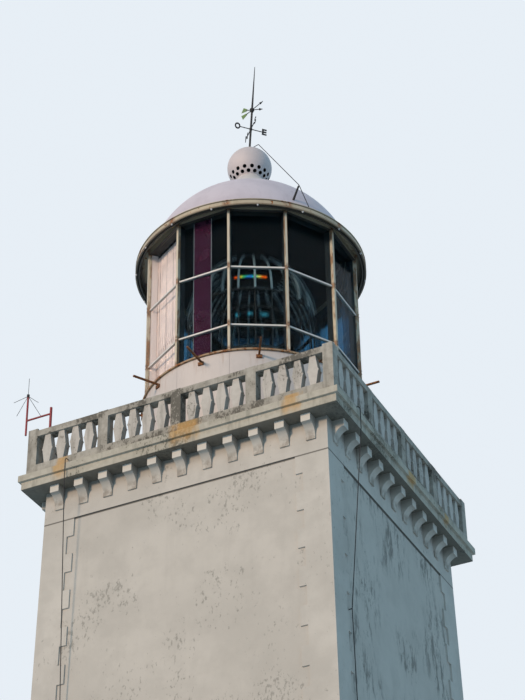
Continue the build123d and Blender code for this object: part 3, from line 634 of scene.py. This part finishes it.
def make_mullion_paint():
    """Cream posts, rusty at their edges and at the bars; their backs are painted dark as shade, and
    painted pale as light by the cloth.
    """
    back_painted_shade = shade(0.030, 0.036, 0.040)
    back_painted_light_by_cloth = shade(0.80, 0.70, 0.66)
    it = make_paint(
        "Mullion paint",
        shade(0.60, 0.52, 0.40),
        shade(0.47, 0.40, 0.30),
        rust_amount=0.10,
        roughness=0.5,
        rust_scale=13.0,
    )
    tree = it.tree
    base = it.base()
    half_post = mullion_width * 0.52
    centre = it.mask(joint_marks, First=first_mullion, Step=side_step, Width=half_post)
    edge = between(tree, centre, 0.16, 0.04)
    broken = noise(tree, stretched(tree, it.place, (1.0, 1.0, 0.3)), 9.0, 4.0, 0.6)
    edge = times(tree, edge, between(tree, broken, 0.42, 0.58))
    iron = it.rust(16.0, 0.9)
    for level in (*bar_levels, sill_top, glazing_top):
        away = math(tree, "ABSOLUTE", math(tree, "SUBTRACT", it.parts["Z"], level))
        near = times(tree, between(tree, away, 0.11, 0.02), iron["Mask"])
        edge = math(tree, "MAXIMUM", edge, near)
    outside = lay(tree, base, iron["Color"], edge, 0.8)
    # Behind the glass the backs are painted dark as shade, and pale as painted light beside the sunlit
    # curtain
    behind = between(tree, from_axis(it), glass_circle - 0.004, glass_circle - 0.014)
    beside_cloth = between(tree, it.parts["X"], -0.9, -1.0)
    lining = mix(tree, beside_cloth, back_painted_shade, back_painted_light_by_cloth)
    it.set(Base_Color=mix(tree, behind, outside, lining))
    return it


def make_rusty_iron():
    """Bare iron in flaking rust, with a little paint left on it."""
    it = Finish("Rusty iron")
    tree = it.tree
    iron = it.rust(18.0, 1.0)
    flakes = it.mask(patches, Scale=40.0, Low=0.45, High=0.60)
    paint_left = it.mask(patches, Scale=9.0, Low=0.60, High=0.70)
    colour = lay(tree, iron["Color"], shade(0.05, 0.024, 0.014), flakes, 0.7)
    colour = lay(tree, colour, shade(0.30, 0.20, 0.12), paint_left, 0.3)
    it.set(Base_Color=colour, Roughness=0.85)
    it.bump(it.grain(120.0, 0.8), 0.003, 0.8)
    return it


def make_glass(name, tint, roughness, dust, body, bend, clear=1.0):
    """Glass with a little salt and dust; body is how much of it shows, bend its index."""
    it = Finish(name)
    tree = it.tree
    film = it.mask(patches, Scale=3.0, Low=0.50, High=0.80)
    it.set(
        Base_Color=lay(tree, tint, shade(0.5, 0.5, 0.5), film, dust),
        Roughness=math(tree, "ADD", times(tree, film, 0.03), roughness),
        Transmission_Weight=clear,
        IOR=bend,
        Alpha=body,
    )
    return it


# Where each kind of pane starts along an axis: not yet at the first place, fully at the second
front_panes = (0.51, 0.50)
cloth_panes = (-0.485, -0.495)
end_panes = (1.81, 1.82)
# How much of the glass's own body shows in each kind
front_body = 0.45
back_body = 0.90
cloth_body = 0.09


def make_pane_glass():
    """Lantern panes: clear over the curtain, teal in front, bluest at the right as painted sky, and
    darkest behind as painted dim sky.
    """
    it = make_glass(
        "Pane glass",
        shade(0.14, 0.27, 0.33),
        roughness=0.01,
        dust=0.15,
        body=front_body,
        bend=1.03,
    )
    tree = it.tree
    front = between(tree, it.parts["Y"], *front_panes)
    cloth_side = times(tree, between(tree, it.parts["X"], *cloth_panes), front)
    tint = mix(tree, cloth_side, it.base(), shade(0.86, 0.82, 0.83))
    # The end panes are tinted blue as painted sky seen through them
    end = between(tree, it.parts["X"], *end_panes)
    tint = mix(tree, end, tint, shade(0.05, 0.22, 0.42))
    # The back panes are tinted dark blue and made more solid, as painted dim sky seen through them
    it.set(Base_Color=mix(tree, front, shade(0.02, 0.12, 0.24), tint))
    thinner = times(tree, front, back_body - front_body)
    thinnest = times(tree, cloth_side, front_body - cloth_body)
    body = math(tree, "SUBTRACT", math(tree, "SUBTRACT", back_body, thinner), thinnest)
    it.set(Alpha=body, Coat_Weight=0.17)
    return it


# Painted glints in the optic, glowing: a spectrum on one prism ring and teal light along the lens belt
lens_body = 0.16
glint_start = radians(10.5)
glint_end = radians(41.5)
glint_low = 21.410
glint_high = 21.460
glint_radius = 1.064
glint_strength = 2.6
glint_blend = 0.07
glint_red = shade(0.75, 0.05, 0.0)
glint_blue = shade(0.01, 0.03, 0.45)
glint_colours = (
    # share of the way along, colour from there on
    (0.06, shade(0.60, 0.50, 0.02)),
    (0.15, shade(0.03, 0.45, 0.12)),
    (0.36, shade(0.02, 0.30, 0.50)),
    (0.60, shade(0.05, 0.60, 0.30)),
    (0.78, shade(0.65, 0.60, 0.10)),
    (0.90, shade(0.80, 0.10, 0.0)),
)
teal_light = shade(0.015, 0.10, 0.13)
teal_low = 20.72
teal_high = 20.80
teal_spots = (
    # degrees round from the front, half width
    (11.0, 4.0),
    (25.0, 4.5),
    (41.0, 7.0),
)


def make_lens_glass():
    """Faintly green lens glass with painted glints that glow: a band split into colours on one ring and
    teal on the belt.
    """
    it = make_glass(
        "Lens glass",
        shade(0.07, 0.14, 0.15),
        roughness=0.01,
        dust=0.1,
        body=lens_body,
        bend=1.03,
    )
    tree = it.tree
    up = it.parts["Z"]
    angle = math(tree, "ARCTAN2", it.parts["X"], times(tree, it.parts["Y"], -1.0))
    share = between(tree, angle, glint_start, glint_end)
    spectrum = glint_red
    for place, colour in glint_colours:
        step = between(tree, share, place - glint_blend, place + glint_blend)
        spectrum = mix(tree, step, spectrum, colour)
    inside = within(
        tree,
        angle,
        rise=(glint_start - 0.02, glint_start + 0.02),
        fall=(glint_end + 0.02, glint_end - 0.02),
    )
    band = within(
        tree,
        up,
        rise=(glint_low, glint_low + 0.015),
        fall=(glint_high, glint_high - 0.015),
    )
    lower_edge = between(tree, up, glint_low + 0.028, glint_low + 0.018)
    middle = within(tree, share, rise=(0.2, 0.3), fall=(0.62, 0.52))
    spectrum = mix(tree, times(tree, lower_edge, middle), spectrum, glint_blue)
    outer_side = between(tree, from_axis(it), glint_radius, glint_radius + 0.002)
    band = times(tree, times(tree, inside, band), outer_side)
    lit = mix(tree, band, shade(0.0, 0.0, 0.0), spectrum)
    belt = within(
        tree,
        up,
        rise=(teal_low, teal_low + 0.02),
        fall=(teal_high, teal_high - 0.02),
    )
    spots = 0.0
    for centre, half in teal_spots:
        away = math(tree, "ABSOLUTE", math(tree, "SUBTRACT", angle, radians(centre)))
        spots = math(tree, "MAXIMUM", spots, between(tree, away, radians(half), radians(half * 0.5)))
    broken = noise(tree, stretched(tree, it.place, (1.0, 1.0, 2.0)), 14.0, 4.0, 0.7)
    belt = times(tree, belt, spots, between(tree, broken, 0.38, 0.56))
    # The glints are painted light that glows by emission
    it.set(
        Emission_Color=mix(tree, belt, lit, teal_light),
        Emission_Strength=glint_strength,
        Alpha=math(tree, "MAXIMUM", lens_body, math(tree, "MAXIMUM", band, belt)),
    )
    return it


# Curtain behind one bay of the glazing: its angle, half width, place behind the glass and seams
curtain_angle = radians(-30.0)
curtain_half = 0.452
curtain_face = 1.6966
curtain_foot_gap = 0.005
curtain_head_gap = 0.060
curtain_fold = 0.008
curtain_pleats = 13
curtain_thickness = 0.0015
curtain_seams = (-0.36, -0.134, 0.088, 0.31)
seam_edges = (0.016, 0.004)
warp_pitch = 0.0022
weft_pitch = 0.0026


def make_cloth():
    """Thin woven curtain: threads both ways, with darker seams between its widths."""
    it = Finish("Curtain cloth")
    tree = it.tree
    across = put(
        tree,
        "VectorMath",
        {"operation": "DOT_PRODUCT"},
        _0=it.place,
        _1=(cos(curtain_angle), sin(curtain_angle), 0.0),
    ).outputs["Value"]
    warp = math(tree, "SINE", times(tree, across, 2 * pi / warp_pitch))
    weft = math(tree, "SINE", times(tree, it.parts["Z"], 2 * pi / weft_pitch))
    weave = math(tree, "ADD", warp, weft)
    seams = 0.0
    for place in curtain_seams:
        away = math(tree, "ABSOLUTE", math(tree, "SUBTRACT", across, place))
        seams = math(tree, "MAXIMUM", seams, between(tree, away, *seam_edges))
    cloud = it.mask(patches, Scale=5.0, Low=0.35, High=0.65)
    colour = lay(tree, shade(0.92, 0.77, 0.71), shade(0.72, 0.60, 0.58), cloud, 0.6)
    colour = lay(tree, colour, shade(0.34, 0.27, 0.27), seams, 0.80)
    it.set(Base_Color=colour, Roughness=0.92)
    it.bump(weave, 0.0004, 0.5)
    return it


def make_metal(name, colour, dull, roughness):
    """Bare metal with duller, rougher patches."""
    it = Finish(name)
    tree = it.tree
    cloud = it.mask(patches, Scale=8.0, Low=0.40, High=0.65)
    it.set(
        Base_Color=mix(tree, cloud, colour, dull),
        Roughness=math(tree, "ADD", times(tree, cloud, 0.2), roughness),
        Metallic=1.0,
    )
    it.bump(it.grain(150.0, 0.3), 0.0005, 0.3)
    return it


def make_planks():
    """Painted planks, with the grain along them."""
    it = Finish("Painted planks")
    tree = it.tree
    along = stretched(tree, it.place, (1.0, 1.0, 0.08))
    fibre = noise(tree, along, 55.0, 5.0, 0.6)
    worn = it.mask(streaks, Scale=7.0, Low=0.50, High=0.70)
    ridges = between(tree, fibre, 0.35, 0.65)
    colour = mix(tree, ridges, shade(0.055, 0.075, 0.055), shade(0.095, 0.12, 0.085))
    colour = lay(tree, colour, shade(0.20, 0.17, 0.13), worn, 0.45)
    it.set(Base_Color=colour, Roughness=0.6)
    it.bump(fibre, 0.002, 0.6)
    return it


# Finishes, each from its colour and its darker tone

warm_white = shade(0.535, 0.49, 0.44)
warm_grey = shade(0.42, 0.385, 0.345)
fleck_grey = shade(0.185, 0.175, 0.15)

field_render = make_stucco(
    "Field render", warm_white, warm_grey, fleck_grey, fleck_amount=0.9
).material
mouldy_render = make_stucco(
    "Mouldy render", warm_white, warm_grey, fleck_grey, fleck_amount=0.8, mould_amount=0.7
).material
quoin_render = make_stucco(
    "Quoin render", shade(0.56, 0.515, 0.465), warm_grey, fleck_grey, fleck_amount=0.45
).material
corbel_render = make_corbel_stucco().material
slab_concrete = make_concrete(
    "Slab concrete",
    shade(0.47, 0.43, 0.36),
    shade(0.34, 0.305, 0.245),
    growth=shade(0.10, 0.095, 0.075),
    growth_amount=1.25,
    stains_and_underside_shade=True,
).material
rail_concrete = make_concrete(
    "Rail concrete",
    shade(0.42, 0.385, 0.335),
    shade(0.22, 0.195, 0.16),
    growth=shade(0.07, 0.062, 0.05),
    growth_amount=1.7,
    stains_and_underside_shade=True,
).material
baluster_concrete = make_concrete(
    "Baluster concrete",
    shade(0.53, 0.485, 0.44),
    shade(0.41, 0.37, 0.33),
    growth=shade(0.15, 0.135, 0.11),
    growth_amount=0.9,
    stains_and_underside_shade=False,
).material
foot_concrete = make_concrete(
    "Foot concrete",
    shade(0.36, 0.34, 0.30),
    shade(0.24, 0.225, 0.20),
    growth=shade(0.12, 0.12, 0.10),
    growth_amount=0.6,
    stains_and_underside_shade=False,
).material
dome_paint = make_shell_paint(
    "Dome paint", shade(0.58, 0.51, 0.56), shade(0.46, 0.40, 0.45), dome_centre, dome_radius, dome_shell
).material
drum_paint = make_drum_paint().material
ball_paint = make_shell_paint(
    "Ball paint", shade(0.59, 0.51, 0.51), shade(0.50, 0.44, 0.44), ball_centre, ball_radius, ball_shell
).material
vent_paint = make_paint(
    "Vent paint", shade(0.60, 0.55, 0.54), shade(0.52, 0.47, 0.46), rust_amount=0.05, roughness=0.6
).material
mullion_paint = make_mullion_paint().material
head_paint = make_head_paint().material
eave_paint = make_eave_paint().material
bar_paint = make_frame_paint(
    "Bar paint", shade(0.66, 0.62, 0.58), shade(0.54, 0.50, 0.46), rust_amount=0.08, joint_width=0.05
).material
rusty_iron = make_rusty_iron().material
sill_paint = make_paint(
    "Sill paint",
    shade(0.38, 0.27, 0.17),
    shade(0.24, 0.14, 0.075),
    rust_amount=0.62,
    roughness=0.75,
    rust_scale=12.0,
).material
pane_glass = make_pane_glass().material
red_glass = make_glass(
    "Red glass",
    shade(0.24, 0.045, 0.105),
    roughness=0.08,
    dust=0.1,
    body=0.88,
    bend=1.05,
    clear=0.35,
).material
lens_glass = make_lens_glass().material
curtain_cloth = make_cloth().material
rod_paint = make_paint(
    "Brown paint", shade(0.17, 0.085, 0.05), shade(0.10, 0.05, 0.03), rust_amount=0.2, roughness=0.5
).material
# The pale rib colour stands in for the light the ribs catch: painted highlight
rib_painted_highlight = make_paint(
    "Rib painted highlight", shade(0.78, 0.84, 0.81), shade(0.50, 0.56, 0.55), rust_amount=0.0, roughness=0.4
).material
lens_frame = make_metal(
    "Gunmetal", shade(0.085, 0.095, 0.095), shade(0.045, 0.045, 0.042), roughness=0.42
).material
black_iron = make_paint(
    "Black paint", shade(0.010, 0.011, 0.014), shade(0.018, 0.017, 0.017), rust_amount=0.06, roughness=0.7
).material
fin_paint = make_paint(
    "Fin paint", shade(0.17, 0.25, 0.07), shade(0.035, 0.12, 0.04), rust_amount=0.10, roughness=0.45
).material
red_paint = make_paint(
    "Red paint", shade(0.28, 0.02, 0.025), shade(0.16, 0.02, 0.02), rust_amount=0.15, roughness=0.5
).material
grey_paint = make_paint(
    "Grey paint", shade(0.10, 0.115, 0.115), shade(0.06, 0.07, 0.07), rust_amount=0.0, roughness=0.5
).material
planks = make_planks().material

nodes_of_finish = {
    field_render: ("front_wall_left", "front_wall_right", "front_wall_over_door", "left_wall"),
    mouldy_render: ("right_wall", "back_wall"),
    quoin_render: ("front_quoins", "right_quoins", "back_quoins", "left_quoins"),
    corbel_render: ("corbels",),
    slab_concrete: ("gallery_soffit_slab", "gallery_floor_slab"),
    rail_concrete: ("balustrade_curb", "balustrade_rails", "balustrade_posts"),
    baluster_concrete: ("balusters",),
    foot_concrete: ("plinth", "ground_floor", "entrance_sill"),
    dome_paint: ("dome",),
    drum_paint: ("drum_plates", "gallery_door_frame", "gallery_door"),
    ball_paint: ("vent_ball",),
    vent_paint: ("vent_collar", "drip_nozzles"),
    mullion_paint: ("lantern_mullions",),
    head_paint: ("lantern_head",),
    eave_paint: ("eave_band",),
    bar_paint: ("glazing_bars",),
    rusty_iron: ("sill_brackets",),
    sill_paint: ("lantern_sill",),
    pane_glass: ("lantern_glass",),
    red_glass: ("sector_glass",),
    lens_glass: ("optic_lamp", "optic_lens"),
    rib_painted_highlight: ("optic_ribs",),
    lens_frame: ("optic_base_ring", "optic_bars", "optic_crown", "optic_belt_cap"),
    rod_paint: ("optic_centre_rod",),
    curtain_cloth: ("lantern_curtain",),
    black_iron: (
        "mast",
        "compass_arms",
        "vane_hub",
        "vane_arrows",
        "aerial_whip",
        "lightning_conductor",
        "conductor_standoffs",
    ),
    fin_paint: ("vane_fins",),
    red_paint: ("aerial_stand",),
    grey_paint: ("optic_pedestal",),
    planks: ("entrance_door", "entrance_frame"),
}
for finish, names in nodes_of_finish.items():
    for name in names:
        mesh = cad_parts[name].data
        mesh.materials.clear()
        mesh.materials.append(finish)
missing = set(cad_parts) - {name for names in nodes_of_finish.values() for name in names}
if missing:
    raise RuntimeError("no finish for " + ", ".join(sorted(missing)))


# New pieces

def piece(name, mesh_data, finish, body):
    """A finished piece: its mesh in place, its object at the origin."""
    made = bpy.data.objects.new(name, mesh_data)
    bpy.context.scene.collection.objects.link(made)
    mesh_data.materials.clear()
    mesh_data.materials.append(finish)
    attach(made, body)
    return made


def mesh_from(work, name):
    """The bmesh as a mesh, with its faces outwards."""
    bmesh.ops.remove_doubles(work, verts=work.verts, dist=1e-6)
    bmesh.ops.recalc_face_normals(work, faces=work.faces)
    made = bpy.data.meshes.new(name)
    work.to_mesh(made)
    work.free()
    return made


def mast_matrix(level, turn):
    """Frame on the leaning mast at a level above its foot, turned about it."""
    side = Vector((0, -1, 0))
    x_axis = (side - mast_along * side.dot(mast_along)).normalized()
    y_axis = mast_along.cross(x_axis)
    turned = Matrix((x_axis, y_axis, mast_along)).transposed().to_4x4()
    turned.translation = Vector((0, 0, ball_top)) + mast_along * level
    return turned @ Matrix.Rotation(turn, 4, "Z")


# Letters at the ends of the compass arms, in the order of the arms
arm_letters = (
    # letter, whether it is turned to read from the arm's other side
    ("E", False),
    ("N", True),
    ("O", True),
    ("S", False),
)
letter_height = 0.145
font_size = 1.35 * letter_height
letter_depth = 0.007
letter_weight = 0.009
round_letter_width = 0.70
letter_place = 0.268
compass_level = 0.583
compass_turn = radians(134.75)


def compass_letter(letter, number, turned):
    """A cut-out letter standing at the end of one compass arm."""
    text = bpy.data.curves.new("letter", "FONT")
    text.body = letter
    text.size = font_size
    text.extrude = letter_depth / 2
    text.offset = letter_weight
    text.align_x = "CENTER"
    text.align_y = "CENTER"
    holder = bpy.data.objects.new("letter", text)
    bpy.context.scene.collection.objects.link(holder)
    bpy.context.view_layer.update()
    final = holder.evaluated_get(bpy.context.evaluated_depsgraph_get())
    mesh_data = bpy.data.meshes.new_from_object(final)
    bpy.data.objects.remove(holder)
    bpy.data.curves.remove(text)
    if letter == "O":
        mesh_data.transform(Matrix.Scale(round_letter_width, 4, Vector((1, 0, 0))))
    facing = Matrix.Rotation(pi if turned else 0.0, 4, "Z")
    upright = facing @ Matrix.Rotation(radians(90), 4, "X")
    out = Matrix.Translation((letter_place, 0, 0))
    mesh_data.transform(mast_matrix(compass_level, compass_turn + number * pi / 2) @ out @ upright)
    piece("compass_letter_" + letter, mesh_data, black_iron, "tower")


for number, (letter, turned) in enumerate(arm_letters):
    compass_letter(letter, number, turned)


def make_curtain():
    """The hung curtain: shallow upright pleats that wander a little and deepen downwards."""
    work = bmesh.new()
    bmesh.ops.create_grid(work, x_segments=150, y_segments=40, size=1.0)
    low = sill_top + curtain_foot_gap
    high = glazing_top - curtain_head_gap
    turn = Matrix.Rotation(curtain_angle, 4, "Z")
    for vertex in work.verts:
        # Pleats bend sideways and differ in depth; they end at the edges and are shallower at the top
        across, up = vertex.co.x, (vertex.co.y + 1) / 2
        bent = across + 0.05 * sin(5 * up) * (1 - across * across)
        pleat = 0.5 - 0.5 * cos(curtain_pleats * pi * bent)
        wander = 0.5 + 0.5 * sin(4.1 * across + 2.3)
        held = min(1.0, 6 * (1 - abs(across)))
        depth = curtain_fold * pleat * (0.35 + 0.65 * wander) * held * (1.0 - 0.55 * up)
        vertex.co = turn @ Vector((across * curtain_half, depth - curtain_face, low + up * (high - low)))
    bmesh.ops.solidify(work, geom=work.faces[:], thickness=curtain_thickness)
    made = piece("curtain_cloth", mesh_from(work, "curtain_cloth"), curtain_cloth, "tower")
    for face in made.data.polygons:
        face.use_smooth = True
    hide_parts("lantern_curtain")


make_curtain()

bolt_radius = 0.009
bolt_taper = 0.85
bolt_head = 0.007
bolt_offset = 0.034


def make_frame_bolts():
    """Bolt heads on the outer face of each mullion, above and below each bar."""
    work = bmesh.new()
    outwards = Matrix.Rotation(radians(90), 4, "X")
    for side in range(lantern_sides):
        way = Matrix.Rotation(radians(side_step * (side + 0.5)), 4, "Z")
        for level in bar_levels:
            for above in (-bolt_offset, bolt_offset):
                spot = Matrix.Translation((0, -mullion_radius - bolt_head / 2, level + above))
                bmesh.ops.create_cone(
                    work,
                    cap_ends=True,
                    segments=6,
                    radius1=bolt_radius,
                    radius2=bolt_radius * bolt_taper,
                    depth=bolt_head,
                    matrix=way @ spot @ outwards,
                )
    piece("frame_bolts", mesh_from(work, "frame_bolts"), black_iron, "tower")


make_frame_bolts()

standoff_foot = Vector((1.425, -1.152, 22.667))
standoff_tip = Vector((1.592, -1.260, 22.866))
sleeve_radius = 0.021
sleeve_taper = 0.8
sleeve_share = 0.93
sleeve_rounding = 0.006


def make_standoff_sleeve():
    """The insulated sleeve round the stand-off on the dome, with rounded ends."""
    work = bmesh.new()
    run = (standoff_tip - standoff_foot) * sleeve_share
    turn = run.to_track_quat("Z", "Y").to_matrix().to_4x4()
    bmesh.ops.create_cone(
        work,
        cap_ends=True,
        segments=20,
        radius1=sleeve_radius,
        radius2=sleeve_radius * sleeve_taper,
        depth=run.length,
        matrix=Matrix.Translation(standoff_foot + run / 2) @ turn,
    )
    rims = [edge for edge in work.edges if len(edge.link_faces) == 2 and edge.calc_face_angle(0) > 1]
    bmesh.ops.bevel(
        work,
        geom=rims,
        offset=sleeve_rounding,
        offset_type="OFFSET",
        segments=3,
        profile=0.5,
        affect="EDGES",
        material=-1,
    )
    piece("standoff_sleeve", mesh_from(work, "standoff_sleeve"), black_iron, "tower")


make_standoff_sleeve()

sector_low, sector_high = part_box("sector_glass")
sector_bead = 0.010


def make_sector_frame():
    """Thin pale beads down both edges of the red glass."""
    work = bmesh.new()
    middle = (sector_low + sector_high) / 2
    height = sector_high[2] - sector_low[2]
    size = Matrix.Diagonal((sector_bead, sector_bead, height, 1.0))
    for edge in (sector_low[0] - sector_bead / 2, sector_high[0] + sector_bead / 2):
        spot = Matrix.Translation((edge, middle[1], middle[2]))
        bmesh.ops.create_cube(work, size=1.0, matrix=spot @ size)
    piece("sector_beads", mesh_from(work, "sector_beads"), bar_paint, "tower")


make_sector_frame()


# Light, floor and camera

def make_backdrop():
    """Pale behind the tower, a plain soft sky for its light."""
    world = bpy.data.worlds.new("Studio")
    bpy.context.scene.world = world
    world.use_nodes = True
    tree = world.node_tree
    sight = put(tree, "LightPath").outputs
    seen = math(tree, "MAXIMUM", sight["Is Camera Ray"], sight["Is Glossy Ray"])
    seen = math(tree, "MAXIMUM", seen, sight["Is Transmission Ray"])
    sky_light = put(tree, "Background", Color=shade(0.41, 0.745, 1.0), Strength=0.60)
    pale_sky = put(tree, "Background", Color=shade(0.80, 0.86, 0.92), Strength=1.0)
    blend = put(tree, "MixShader", Fac=seen, _1=sky_light.outputs[0], _2=pale_sky.outputs[0])
    tree.links.new(blend.outputs[0], tree.nodes["World Output"].inputs["Surface"])


def make_floor():
    """A pale floor that the tower stands on."""
    work = bmesh.new()
    bmesh.ops.create_grid(work, x_segments=1, y_segments=1, size=150.0)
    mesh_data = mesh_from(work, "floor")
    floor = bpy.data.objects.new("floor", mesh_data)
    bpy.context.scene.collection.objects.link(floor)
    it = Finish("Pale floor")
    tone = it.mask(patches, Scale=0.05, Low=0.3, High=0.7)
    colour = mix(it.tree, tone, shade(0.72, 0.73, 0.74), shade(0.76, 0.77, 0.78))
    it.set(Base_Color=colour, Roughness=0.9)
    mesh_data.materials.append(it.material)


def make_lamps():
    """One warm, soft sun, low and to the left of the front."""
    key = bpy.data.lights.new("key", "SUN")
    key.energy = 2.3
    key.color = (1.0, 0.765, 0.555)
    key.angle = radians(9.0)
    holder = bpy.data.objects.new("key", key)
    bpy.context.scene.collection.objects.link(holder)
    way = radians(-15.0)
    height = radians(13.0)
    source = Vector((sin(way) * cos(height), -cos(way) * cos(height), sin(height)))
    holder.rotation_euler = source.to_track_quat("Z", "Y").to_euler()


def make_camera():
    """The photograph's view, solved from the slab's corners and the lantern's bars."""
    place = Vector((12.689, -25.601, 0.331))
    azimuth = radians(25.9877)
    elevation = radians(-35.3696)
    roll = radians(-0.9424)
    back = Vector((sin(azimuth) * cos(elevation), -cos(azimuth) * cos(elevation), sin(elevation)))
    right = (-back).cross(Vector((0, 0, 1))).normalized()
    up = right.cross(-back)
    x_axis = cos(roll) * right + sin(roll) * up
    y_axis = cos(roll) * up - sin(roll) * right
    placed = Matrix((x_axis, y_axis, back)).transposed().to_4x4()
    placed.translation = place
    camera = bpy.data.cameras.new("camera")
    camera.lens = 101.73
    camera.sensor_width = 36.0
    camera.clip_end = 500.0
    holder = bpy.data.objects.new("camera", camera)
    bpy.context.scene.collection.objects.link(holder)
    holder.matrix_world = placed
    bpy.context.scene.camera = holder


make_backdrop()
make_floor()
make_lamps()
make_camera()
bpy.context.scene.view_settings.view_transform = "Standard"
